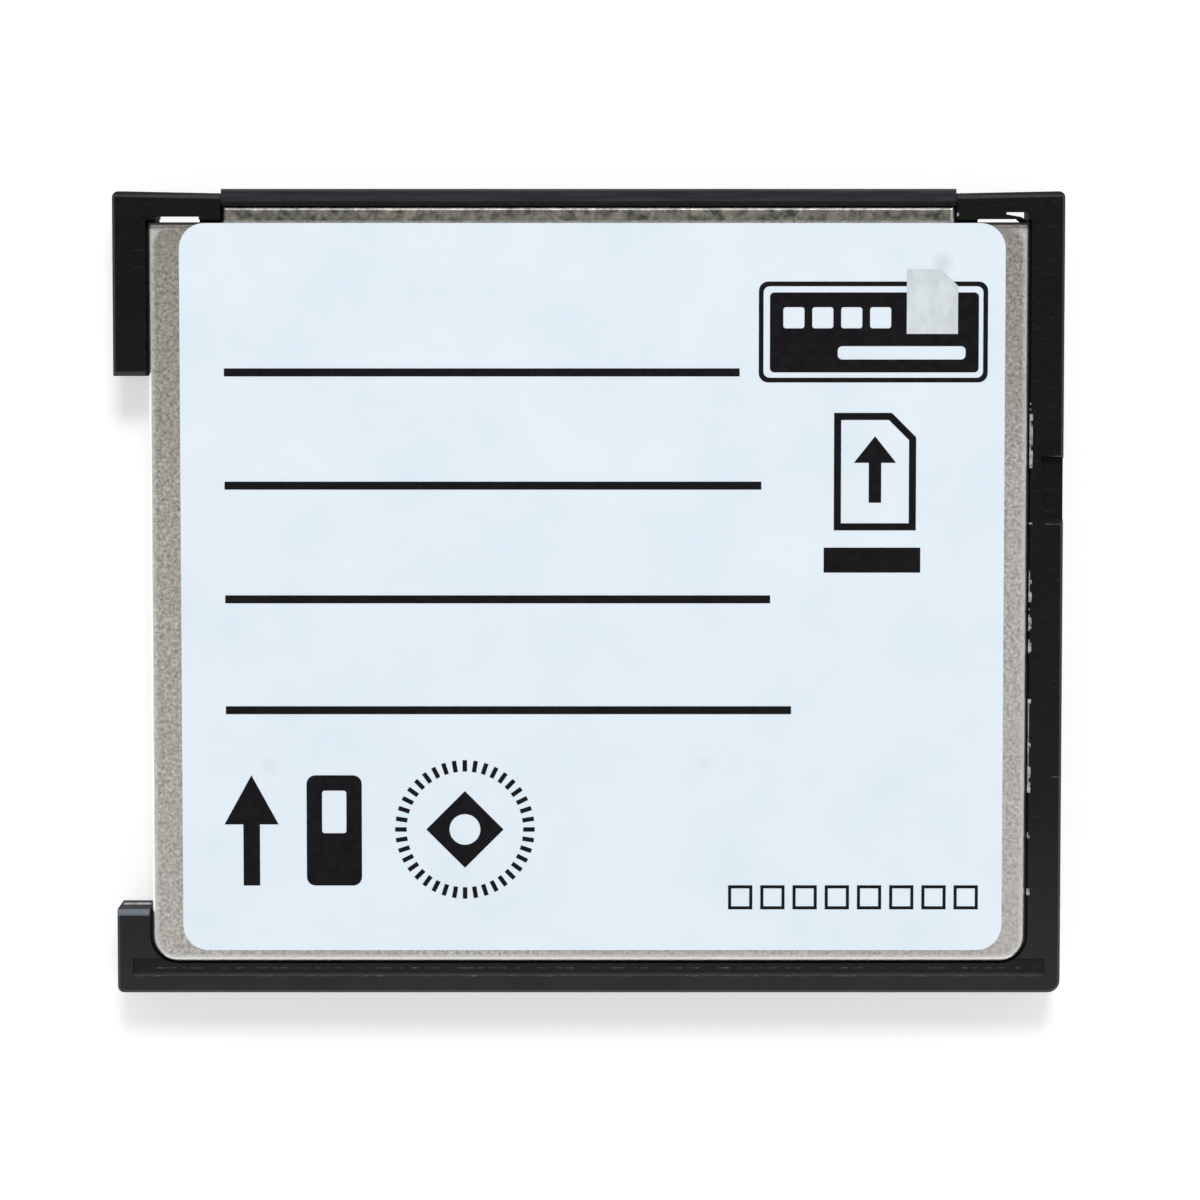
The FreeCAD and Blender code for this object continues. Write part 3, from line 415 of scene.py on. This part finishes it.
# %% [markdown]
# ## Metal, laminate and ceramic inside
# The contacts are phosphor bronze, gold flashed where they touch and tinned where they are soldered, so a
# contact is tin past the edge where its tail begins. The board is glass-epoxy laminate under a green
# solder mask, with the bare weave on its cut edges. The chips are black epoxy and the small parts are
# ceramic. Each of those is tin past a distance from the middle of its node's own box, at both ends.

# %% Gold flashed contacts with tinned tails
def contact_metal(name, axis, tail, blur):
    """Gold before the tail's edge on that axis, and tin past it. A negative blur swaps the two."""
    material, tree, shader, place = new_finish(name, Metallic=1.0, Roughness=0.26)
    rub = grain(tree, place, size=0.15, stretch=(1, 4, 1))
    gold = blend_colours(tree, between(tree, rub, *WIDE), "d6a54f", "f0cf86")
    tin = blend_colours(tree, between(tree, rub, *WIDE), "bfc1c4", "e2e3e4")
    tinned = beyond(tree, split(tree, place)[axis], tail, blur)
    connect(tree, shader, Base_Color=blend_colours(tree, tinned, gold, tin))
    raise_surface(tree, shader, rub, depth=0.003, strength=0.5)
    return material


# %% Glass-epoxy laminate under solder mask
MASK_DEPTH, WEAVE = 0.035, {"Scale": 1.1, "Distortion": 0.6}


def board_laminate():
    material, tree, shader, place = new_finish("masked_glass_epoxy", IOR=1.55, Roughness=0.3)
    low, high = node_box("circuit_board")
    masked = past(tree, place, "Z", (low.z + high.z) / 2, (high.z - low.z) / 2 - MASK_DEPTH, blur=0.005)
    warp, weft = (add_node(tree, "ShaderNodeTexWave", {"Vector": place, **WEAVE}, bands_direction=axis)
                  for axis in "XY")
    weave = both(tree, warp.outputs["Fac"], weft.outputs["Fac"])
    mask = blend_colours(tree, weave, "0f5a34", "1a6f43")
    glass = blend_colours(tree, grain(tree, place, size=0.12, stretch=(4, 4, 1)), "b5ad7c", "d8d1a4")
    connect(tree, shader, Base_Color=blend_colours(tree, masked, glass, mask))
    raise_surface(tree, shader, weave, depth=0.006, strength=0.5)
    return material


# %% Epoxy and ceramic packages with tinned ends
def tinned_package(node, name, dark, light, rough, body_reach=None, tin_width=None):
    """The body reaches so far from the node's middle along X, or the tin has that width at each end."""
    material, tree, shader, place = new_finish(name, IOR=1.55, Roughness=rough)
    low, high = node_box(node)
    reach = body_reach or (high.x - low.x) / 2 - tin_width
    tinned = past(tree, place, "X", (low.x + high.x) / 2, reach)
    speck = grain(tree, place, size=0.06, detail=2)
    tarnish = grain(tree, place, size=0.12, detail=2)
    body = blend_colours(tree, between(tree, speck, *WIDE), dark, light)
    tin = blend_colours(tree, between(tree, tarnish, *WIDE), "c4c6c9", "e4e5e6")
    connect(tree, shader, Base_Color=blend_colours(tree, tinned, body, tin), Metallic=tinned)
    raise_surface(tree, shader, speck, depth=0.004, strength=0.6)
    return material


# %% [markdown]
# ## Giving each CAD piece its finish
# A CAD node keeps its mesh as it is. Only the material in its slot changes. The two half frames share
# one finish, the two covers share another, and so do the contacts of each kind.

# %% One finish for each node
BAR_SHADE_EDGE = 17.64
SOCKET_TAIL, SPRING_TAIL = 12.6, 13.4
ALONG_BAR, ALONG_COMB = (14, 1, 1), (1, 10, 1)

frame_finish = moulded_pbt()
steel_finish = rolled_steel()
bar_finish = moulded_lcp("bar_liquid_crystal_polymer", "1c1d21", "2c2e33", ALONG_BAR, BAR_SHADE_EDGE)
comb_finish = moulded_lcp("comb_liquid_crystal_polymer", "1a1a1c", "26262a", ALONG_COMB)
socket_finish = contact_metal("socket_contact_bronze", "Y", SOCKET_TAIL, blur=-0.01)
spring_finish = contact_metal("card_contact_bronze", "X", SPRING_TAIL, blur=0.01)

finishes = {
    "label_side_frame": frame_finish,
    "plain_side_frame": frame_finish,
    "label_side_panel": steel_finish,
    "plain_side_panel": steel_finish,
    "label": label_film(),
    "connector_housing": bar_finish,
    "circuit_board": board_laminate(),
    "controller_chip": tinned_package("controller_chip", "chip_epoxy_black", "17181a", "242527", 0.5,
                                      tin_width=0.02),
    "voltage_regulator": tinned_package("voltage_regulator", "regulator_epoxy_black", "17181a", "242527", 0.5,
                                        body_reach=0.815),
    "capacitors": tinned_package("capacitors", "barium_titanate_ceramic", "8d7154", "a4866a", 0.35,
                                 body_reach=0.5),
    "resistors": tinned_package("resistors", "glazed_alumina", "1b1b1d", "2b2b2e", 0.3, body_reach=0.3),
}
for name in frame["nodes"]:
    if name.startswith("socket_contacts"):
        finishes[name] = socket_finish
    if name.startswith("card_contact_"):
        finishes[name] = spring_finish
finishes["card_contact_carrier"] = comb_finish

for name, material in finishes.items():
    mesh = frame["nodes"][name].data
    mesh.materials.clear()
    mesh.materials.append(material)
print("Finished nodes:", len(finishes), "of", len(frame["nodes"]))


# %% [markdown]
# ## Print on the label
# The print is a layer of ink a few thousandths of a millimetre thick. It could be painted by a material,
# but a hard edge is simpler as real geometry, and it stays sharp at any distance. A flat curve fills
# between its outlines and leaves a hole where one outline lies inside another, which is just how a print
# block works. The shapes are plain ones: rules to write on, a framed panel, a card sign, two heavy signs,
# a ring of ticks round a diamond, and a row of boxes.

# %% Objects, meshes and pieces
def into_scene(thing):
    """Links a new object to the scene, and returns it."""
    bpy.context.scene.collection.objects.link(thing)
    return thing


def to_mesh(thing):
    """The evaluated shape of an object as a plain mesh. The object itself is removed."""
    mesh = bpy.data.meshes.new_from_object(thing.evaluated_get(bpy.context.evaluated_depsgraph_get()))
    bpy.data.objects.remove(thing)
    return mesh


def add_piece(name, mesh):
    """A piece of the adapter that rides on its one body."""
    mesh.name = name
    piece = into_scene(bpy.data.objects.new(name, mesh))
    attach(piece, "root")
    print(name, "has", len(mesh.polygons), "faces")


# %% Outlines of print shapes, in millimetres
CORNER_STEPS, CIRCLE_STEPS = 6, 40
CUT_SHIFT = 0.41


def rounded(left, low, right, high, radius=0.0):
    """The outline of a rectangle with round corners."""
    if radius <= 0:
        return [(left, low), (right, low), (right, high), (left, high)]
    points = []
    for x, y, start in ((right - radius, low + radius, -90), (right - radius, high - radius, 0),
                        (left + radius, high - radius, 90), (left + radius, low + radius, 180)):
        for i in range(CORNER_STEPS + 1):
            angle = math.radians(start + 90 * i / CORNER_STEPS)
            points.append((x + radius * math.cos(angle), y + radius * math.sin(angle)))
    return points


def circle_outline(x, y, radius):
    turns = [math.tau * i / CIRCLE_STEPS for i in range(CIRCLE_STEPS)]
    return [(x + radius * math.cos(turn), y + radius * math.sin(turn)) for turn in turns]


def card_outline(left, low, right, high, cut, inset=0.0):
    """The outline of a small card standing up, with its top right corner cut off at 45 degrees. An inset
    shortens the cut, and its ends move 0.41 times as far as the sides, the tangent of 22.5 degrees."""
    left, low, right, high = left + inset, low + inset, right - inset, high - inset
    cut_end = cut + inset * (CUT_SHIFT - 1)
    return [(left, low), (right, low), (right, high - cut_end), (right - cut_end, high), (left, high)]


def arrow_outline(x, foot, neck, tip, stem, head):
    """The outline of an arrow that points up, with half the width of its stem and of its head."""
    return [(x - stem, foot), (x + stem, foot), (x + stem, neck), (x + head, neck), (x, tip),
            (x - head, neck), (x - stem, neck)]


# %% Ink from outlines
INK = 0.006


def print_shape(name, outlines, material, height=LABEL_TOP):
    """A layer of ink. The fill is worked out in millimetres, and the mesh is then scaled to metres."""
    curve = bpy.data.curves.new(name, "CURVE")
    curve.dimensions = "2D"
    curve.fill_mode = "BOTH"
    curve.extrude = INK / 2
    for outline in outlines:
        spline = curve.splines.new("POLY")
        spline.points.add(len(outline) - 1)
        spline.points.foreach_set("co", [c for x, y in outline for c in (x, y, 0, 1)])
        spline.use_cyclic_u = True
    mesh = to_mesh(into_scene(bpy.data.objects.new(name + "_outline", curve)))
    for vertex in mesh.vertices:
        vertex.co = Vector((vertex.co.x, vertex.co.y, vertex.co.z + height + INK / 2)) * MM
    mesh.materials.clear()
    mesh.materials.append(material)
    add_piece(name, mesh)


# %% [markdown]
# Four rules to write on run from the left margin. Each one is a little longer than the one above it, and
# each is given by its height on the label and its right end.

# %% Writing rules
RULE_LEFT, RULE_WIDTH = -16.41, 0.36
RULES = [(9.97, 6.79), (4.87, 7.78), (-0.27, 8.19), (-5.30, 9.15)]
print_shape("label_writing_rules", [
    rounded(RULE_LEFT, y - RULE_WIDTH / 2, right, y + RULE_WIDTH / 2) for y, right in RULES], ink_finish)

# %% Framed black panel
# The outer pair of outlines is the thin frame, and the next one is the black field. The ones inside it
# are holes, so the pale film shows there as four squares and a bar.
SQUARE_LEFTS, SQUARE_LOW, SQUARE_SIDE = (8.75, 10.05, 11.35, 12.65), 11.95, 0.95
print_shape("label_framed_panel", [
    rounded(7.65, 9.52, 17.95, 14.05, 0.42),
    rounded(7.86, 9.73, 17.74, 13.84, 0.28),
    rounded(8.15, 9.97, 17.54, 13.56, 0.2),
    *[rounded(x, SQUARE_LOW, x + SQUARE_SIDE, SQUARE_LOW + SQUARE_SIDE, 0.12) for x in SQUARE_LEFTS],
    rounded(11.2, 10.55, 16.95, 11.15, 0.2),
], ink_finish)

# %% Pale card over the panel's corner
print_shape("label_pale_card", [card_outline(14.3, 11.7, 16.6, 14.6, 0.75)], pale_finish, LABEL_TOP + INK)

# %% Card sign over a bar
SIGN_CARD = (11.05, 2.85, 14.75, 8.15, 1.1)
print_shape("label_card_sign", [
    card_outline(*SIGN_CARD),
    card_outline(*SIGN_CARD, inset=0.32),
    arrow_outline(12.9, foot=4.1, neck=5.9, tip=7.1, stem=0.28, head=0.95),
    rounded(10.60, 0.94, 14.96, 2.07),
], ink_finish)

# %% Two heavy signs
SIGNS_LOW, SIGNS_HIGH = -13.29, -8.26
print_shape("label_heavy_signs", [
    arrow_outline(-15.275, foot=SIGNS_LOW, neck=-10.5, tip=SIGNS_HIGH, stem=0.375, head=1.225),
    rounded(-12.78, SIGNS_LOW, -10.28, SIGNS_HIGH, 0.4),
    rounded(-12.08, -10.9, -10.98, -8.96, 0.12),
], ink_finish)

# %% [markdown]
# ## Ring of ticks
# The ticks repeat round a circle, so they are a Geometry Nodes tree: a circle of points, one small bar
# on each point, and the bars turned to face the middle. Its sizes are named inputs, and an input is set by
# its identifier, since two inputs could share a name.

# %% Trees, inputs and results
def new_tree(name, inputs):
    """A Geometry Nodes tree with named inputs. Returns the tree, what it is given, and its output node."""
    tree = bpy.data.node_groups.new(name, "GeometryNodeTree")
    tree.interface.new_socket("Geometry", in_out="INPUT", socket_type="NodeSocketGeometry")
    tree.interface.new_socket("Geometry", in_out="OUTPUT", socket_type="NodeSocketGeometry")
    for label, kind in inputs.items():
        tree.interface.new_socket(label, in_out="INPUT", socket_type=f"NodeSocket{kind}")
    return tree, add_node(tree, "NodeGroupInput").outputs, add_node(tree, "NodeGroupOutput")


def end_tree(tree, output, geometry, material):
    """Ends a tree in real geometry with its material set, since an export drops instances."""
    real = add_node(tree, "GeometryNodeRealizeInstances", {0: geometry}).outputs[0]
    painted = add_node(tree, "GeometryNodeSetMaterial", {0: real, "Material": material}).outputs[0]
    tree.links.new(painted, output.inputs[0])


def grow(name, tree, values, start=None):
    """A piece made by a tree, from a start mesh if it needs one. Its faces are shaded flat."""
    seed = start or bpy.data.meshes.new(name + "_start")
    grower = into_scene(bpy.data.objects.new(name + "_grower", seed))
    modifier = grower.modifiers.new("grow", "NODES")
    modifier.node_group = tree
    for item in tree.interface.items_tree:
        if item.in_out == "INPUT" and item.name in values:
            modifier[item.identifier] = values[item.name]
    mesh = to_mesh(grower)
    for polygon in mesh.polygons:
        polygon.use_smooth = False
    add_piece(name, mesh)


# %% The ring's tree
def tick_ring_tree():
    tree, given, output = new_tree("tick_ring", {"Count": "Int", "Radius": "Float", "Length": "Float",
                                                 "Width": "Float", "Thickness": "Float", "Middle": "Vector"})
    circle = add_node(tree, "GeometryNodeMeshCircle", {"Vertices": given["Count"], "Radius": given["Radius"]})
    size = add_node(tree, "ShaderNodeCombineXYZ", {
        0: given["Length"], 1: given["Width"], 2: given["Thickness"]})
    bar = add_node(tree, "GeometryNodeMeshCube", {"Size": size.outputs[0]})
    spot = add_node(tree, "GeometryNodeInputPosition").outputs[0]
    turn = add_node(tree, "FunctionNodeAlignRotationToVector", {"Vector": spot}, axis="X")
    ticks = add_node(tree, "GeometryNodeInstanceOnPoints", {
        "Points": circle.outputs[0], "Instance": bar.outputs[0], "Rotation": turn.outputs[0]})
    placed = add_node(tree, "GeometryNodeTransform", {0: ticks.outputs[0], "Translation": given["Middle"]})
    end_tree(tree, output, placed.outputs[0], ink_finish)
    return tree


RING_X, RING_Y, RING_REACH = -5.61, -10.73, 3.16
TICKS, TICK_LENGTH, TICK_WIDTH = 40, 0.52, 0.2
grow("label_tick_ring", tick_ring_tree(), {
    "Count": TICKS, "Radius": (RING_REACH - TICK_LENGTH / 2) * MM, "Length": TICK_LENGTH * MM,
    "Width": TICK_WIDTH * MM, "Thickness": INK * MM,
    "Middle": (RING_X * MM, RING_Y * MM, (LABEL_TOP + INK / 2) * MM)})

# %% Diamond in the ring
DIAMOND_REACH, DIAMOND_HOLE = 1.75, 0.7
print_shape("label_diamond", [
    [(RING_X + DIAMOND_REACH, RING_Y), (RING_X, RING_Y + DIAMOND_REACH),
     (RING_X - DIAMOND_REACH, RING_Y), (RING_X, RING_Y - DIAMOND_REACH)],
    circle_outline(RING_X, RING_Y, DIAMOND_HOLE),
], ink_finish)

# %% [markdown]
# ## Row of boxes
# A row of small square boxes stands at the lower right. One box is a square path with a thin strip swept
# along it, and the row is a line of points with that box on each.

# %% The row's tree
def box_row_tree():
    tree, given, output = new_tree("box_row", {"Count": "Int", "Side": "Float", "Pitch": "Float",
                                               "Stroke": "Float", "Thickness": "Float", "First": "Vector"})
    square = add_node(tree, "GeometryNodeCurvePrimitiveQuadrilateral", {
        "Width": given["Side"], "Height": given["Side"]})
    strip = add_node(tree, "GeometryNodeCurvePrimitiveQuadrilateral", {
        "Width": given["Stroke"], "Height": given["Thickness"]})
    box = add_node(tree, "GeometryNodeCurveToMesh", {
        "Curve": square.outputs[0], "Profile Curve": strip.outputs[0]})
    step = add_node(tree, "ShaderNodeCombineXYZ", {0: given["Pitch"]})
    row = add_node(tree, "GeometryNodeMeshLine", {
        "Count": given["Count"], "Start Location": given["First"], "Offset": step.outputs[0]})
    boxes = add_node(tree, "GeometryNodeInstanceOnPoints", {
        "Points": row.outputs[0], "Instance": box.outputs[0]})
    end_tree(tree, output, boxes.outputs[0], ink_finish)
    return tree


BOXES, BOX_SIDE, BOX_STROKE = 8, 1.16, 0.2
ROW_LEFT, ROW_RIGHT, ROW_Y = 6.29, 17.68, -13.83
BOX_PITCH = (ROW_RIGHT - ROW_LEFT - BOX_SIDE) / (BOXES - 1)
grow("label_box_row", box_row_tree(), {
    "Count": BOXES, "Side": (BOX_SIDE - BOX_STROKE) * MM, "Pitch": BOX_PITCH * MM,
    "Stroke": BOX_STROKE * MM, "Thickness": INK * MM,
    "First": ((ROW_LEFT + BOX_SIDE / 2) * MM, ROW_Y * MM, (LABEL_TOP + INK / 2) * MM)})

# %% [markdown]
# ## Moulding flash
# Where the tool closed on the frame, a ragged skin of plastic was squeezed out along the edge of the
# recess. Its pale colour is a painted highlight, which makes it a broken bright line beside the cover. Each
# run is a thin path, and a tree gives it an uneven width from noise, so no two places are alike. The same
# tree makes the thinner grey lines on the rail and the rear step, and the even bead where the two half
# frames are welded, which shows at the end of the rear leg. The bead is pale as well, a painted highlight.

# %% Skins of squeezed and scuffed plastic
SKIN = {"size": 0.3, "spread": (0.4, 0.62), "depth": 0.004, "strength": 0.5, "IOR": 1.55, "Roughness": 0.35}
# The pale skin and the weld bead are real flash, with a painted highlight in their pale colour
pale_skin = mottled("pbt_flash_painted_highlight", "686a70", "aeafb5", **SKIN)
grey_skin = mottled("scuffed_pbt_skin", "2c2d30", "6a6b70", **SKIN)
weld_bead = mottled("welded_pbt_bead", "8c9096", "b0b3b9", **SKIN)


# %% The flash's tree
PROFILE = {"Resolution": 6, "Radius": 1.0}


def flash_tree(finish):
    tree, given, output = new_tree("moulding_flash", {"Step": "Float", "Thin": "Float", "Thick": "Float",
                                                      "Grain": "Float", "Seed": "Float"})
    path = add_node(tree, "GeometryNodeMeshToCurve", {0: given["Geometry"]})
    fine = add_node(tree, "GeometryNodeResampleCurve", {
        "Curve": path.outputs[0], "Length": given["Step"]}, mode="LENGTH")
    noise = add_node(tree, "ShaderNodeTexNoise", {
        "Scale": given["Grain"], "Detail": 2.0, "W": given["Seed"]}, noise_dimensions="4D")
    width = between(tree, noise.outputs["Fac"], start=given["Thin"], end=given["Thick"])
    profile = add_node(tree, "GeometryNodeCurvePrimitiveCircle", PROFILE)
    skin = add_node(tree, "GeometryNodeCurveToMesh", {
        "Curve": fine.outputs[0], "Profile Curve": profile.outputs[0], "Scale": width, "Fill Caps": True})
    end_tree(tree, output, skin.outputs[0], finish)
    return tree


def grow_flash(name, finish, runs, step, thin, thick, grains, seed):
    """Flash along straight runs, each from one point to another. Lengths are in mm, grains are per metre."""
    paths = bpy.data.meshes.new(name + "_paths")
    corners = [Vector(point) * MM for run in runs for point in run]
    paths.from_pydata(corners, [(2 * i, 2 * i + 1) for i in range(len(runs))], [])
    grow(name, flash_tree(finish), {
        "Step": step * MM, "Thin": thin * MM, "Thick": thick * MM, "Grain": grains, "Seed": seed}, paths)


# %% Flash and marks along the right rail
FLASH_X, FLASH_Z, MARK_Z = 19.95, 3.225, 3.296
RAIL_RUNS = [(8.60, 8.52), (8.34, 8.26), (8.10, 5.66), (3.20, 3.12), (1.02, -0.40), (-0.70, -0.76),
             (-0.95, -1.70), (-2.10, -2.70), (-4.80, -9.06), (-10.86, -11.14), (-13.44, -13.72)]
# A painted glint by the tab's right end, drawn as a speck of the pale skin
TAB_GLINT = ((16.53, 17.05, 3.26), (16.61, 17.05, 3.26))
RAIL_MARKS = [(20.95, 21.32, -8.35), (20.98, 21.26, -8.31), (20.6, 21.3, 3.13), (20.7, 21.3, 6.2)]

rail_runs = [((FLASH_X, front, FLASH_Z), (FLASH_X, rear, FLASH_Z)) for front, rear in RAIL_RUNS]
grow_flash("rail_flash", pale_skin, rail_runs + [TAB_GLINT],
           step=0.06, thin=0.075, thick=0.1, grains=1800.0, seed=3.0)
mark_runs = [((left, y, MARK_Z), (right, y, MARK_Z)) for left, right, y in RAIL_MARKS]
grow_flash("rail_marks", grey_skin, mark_runs,
           step=0.05, thin=0.004, thick=0.028, grains=2500.0, seed=5.0)

# %% The weld bead at the end of the rear leg, pale: a painted highlight
LEG_LEFT, LEG_RIGHT, LEG_END = -21.25, -20.0, -14.4
seam = node_box("label_side_frame")[0].z
grow_flash("seam_flash", weld_bead, [((LEG_LEFT, LEG_END, seam), (LEG_RIGHT, LEG_END, seam))],
           step=0.06, thin=0.085, thick=0.1, grains=2500.0, seed=7.0)

# %% Broken lines along the rear step
# Each line is its y, its height, its left and right end, and the gaps that it can have.
STEP_LINES = [(-17.43, MARK_Z, -20.4, 20.5, (0.1, 0.3, 1.2, 2.6)),
              (-17.08, 3.182, -19.6, 19.7, (0.1, 0.2, 0.4, 0.8))]
SHORTEST, LONGEST = 0.1, 0.9
draw = random.Random(4)
step_runs = []
for y, z, left, right, gaps in STEP_LINES:
    x = left
    while x < right - SHORTEST:
        length = draw.uniform(SHORTEST, LONGEST)
        step_runs.append(((x, y, z), (min(x + length, right), y, z)))
        x += length + draw.choice(gaps)
grow_flash("step_flash", grey_skin, step_runs,
           step=0.08, thin=0.004, thick=0.02, grains=3000.0, seed=11.0)

# %% [markdown]
# ## Floor, light and camera
# The adapter lies on a plain pale floor. The floor turns white for the camera, for reflections and for
# seeing through, by a little light of its own, and keeps the shadow. Under the front windows it has more
# light of its own, so the openings look as open as they are. The world is a white dome with a bright band
# near the horizon, as a ring of soft boxes gives, and a darker patch overhead, where a camera keeps the
# light away. That patch is what flat black plastic mirrors, and it keeps the plastic black. One broad lamp
# on the connector side gives the soft shadow on the near side. A card that only reflections see puts a
# faint gloss on the rear.

# %% Floor that keeps its shadow
FLOOR_HALF, FLOOR_DROP = 1.5, 0.00002
FLOOR_GLOW, WINDOW_GLOW = 0.47, 0.95
WINDOWS_Y, WINDOWS_REACH, WINDOWS_SIDE = 17.1, 0.75, 20.4


def floor_paper():
    material, tree, shader, place = new_finish("white_floor_paper", Roughness=0.9, Specular_IOR_Level=0.1)
    shader.inputs["Emission Color"].default_value = WHITE
    rays = add_node(tree, "ShaderNodeLightPath").outputs
    reflected = either(tree, rays["Is Glossy Ray"], rays["Is Transmission Ray"])
    seen = either(tree, rays["Is Camera Ray"], reflected)
    lit = blend_colours(tree, grain(tree, place, size=40.0, detail=1), "e6e6e6", "e9e9e9")
    outside = either(tree, past(tree, place, "Y", WINDOWS_Y, WINDOWS_REACH, blur=0.05),
                     past(tree, place, "X", 0.0, WINDOWS_SIDE, blur=0.05))
    glow = between(tree, outside, 0.0, 1.0, start=WINDOW_GLOW, end=FLOOR_GLOW)
    connect(tree, shader, Base_Color=blend_colours(tree, seen, lit, "dadada"),
            Emission_Strength=both(tree, seen, glow))
    return material


corners = [(-FLOOR_HALF, -FLOOR_HALF, 0), (FLOOR_HALF, -FLOOR_HALF, 0),
           (FLOOR_HALF, FLOOR_HALF, 0), (-FLOOR_HALF, FLOOR_HALF, 0)]
floor_mesh = bpy.data.meshes.new("floor")
floor_mesh.from_pydata(corners, [], [(0, 1, 2, 3)])
floor_mesh.materials.append(floor_paper())
floor = into_scene(bpy.data.objects.new("floor", floor_mesh))
floor.location.z = cad_box[0].z - FLOOR_DROP

# %% A dome with a bright horizon
RIM_LIGHT, TOP_LIGHT = 1.17, 0.28
HORIZON_LIGHT, HORIZON_TOP = 2.5, 0.3
PATCH_LEAN, PATCH_INNER, PATCH_OUTER = math.radians(8), math.radians(12), math.radians(38)
PATCH_LIGHT = 0.2

world = bpy.data.worlds.new("studio_dome")
bpy.context.scene.world = world
world.use_nodes = True
sky = world.node_tree
sky.nodes.clear()
toward = add_node(sky, "ShaderNodeTexCoord").outputs["Generated"]
height = split(sky, toward)["Z"]
rim = between(sky, height, 0.0, 1.0, start=RIM_LIGHT, end=TOP_LIGHT)
horizon = between(sky, height, 0.0, HORIZON_TOP, start=HORIZON_LIGHT, end=0.0)
patch_middle = (0, math.sin(PATCH_LEAN), math.cos(PATCH_LEAN))
to_patch = calculate_vector(sky, "DOT_PRODUCT", toward, patch_middle)["Value"]
shade = between(sky, to_patch, math.cos(PATCH_OUTER), math.cos(PATCH_INNER), start=1.0, end=PATCH_LIGHT)
light = calculate(sky, "ADD", both(sky, rim, shade), horizon)
dome = add_node(sky, "ShaderNodeBackground", {"Color": WHITE, "Strength": light})
plain = add_node(sky, "ShaderNodeBackground", {"Color": WHITE, "Strength": 1.0})
seen = add_node(sky, "ShaderNodeLightPath").outputs["Is Camera Ray"]
mixed = add_node(sky, "ShaderNodeMixShader", {0: seen, 1: dome.outputs[0], 2: plain.outputs[0]})
add_node(sky, "ShaderNodeOutputWorld", {0: mixed.outputs[0]})


# %% The broad lamp and the card
def soft_lamp(name, place, size, watts):
    """A square area lamp that faces the middle of the adapter."""
    light = bpy.data.lights.new(name, "AREA")
    light.size = size
    light.energy = watts
    lamp = into_scene(bpy.data.objects.new(name, light))
    lamp.location = place
    lamp.rotation_euler = Vector(place).to_track_quat("Z", "Y").to_euler()
    return lamp


soft_lamp("connector_side_lamp", place=(0.045, 0.535, 0.735), size=0.22, watts=4.0)
near_side_card = soft_lamp("near_side_card", place=(0.0, -0.18, 0.4), size=0.4, watts=0.18)
near_side_card.data.shape = "RECTANGLE"
near_side_card.data.size_y = 0.2
near_side_card.visible_diffuse = False

# %% [markdown]
# The picture looks almost straight down, but the ends of the frame's legs show their faces towards the
# connector, and not the faces away from it. So the camera leans a few degrees to the connector side. The
# lens is worked out from how much of the label's plane the picture takes in, 54.2 mm across.

# %% Camera
VIEW_WIDTH, CAMERA_DISTANCE, CAMERA_LEAN = 54.18, 220.0, math.radians(4.5)
AIM = Vector((0.51, -0.3, LABEL_TOP)) * MM
camera_data = bpy.data.cameras.new("camera")
camera_data.sensor_width = 36.0
camera_data.lens = camera_data.sensor_width * CAMERA_DISTANCE / VIEW_WIDTH
camera_data.clip_start = 0.005
camera_data.clip_end = 10.0
camera = into_scene(bpy.data.objects.new("camera", camera_data))
camera.location = AIM + Vector((0, math.sin(CAMERA_LEAN), math.cos(CAMERA_LEAN))) * CAMERA_DISTANCE * MM
camera.rotation_euler = (-CAMERA_LEAN, 0, 0)
bpy.context.scene.camera = camera
bpy.context.scene.view_settings.view_transform = "Standard"
print("Lens:", round(camera_data.lens, 1), "mm")
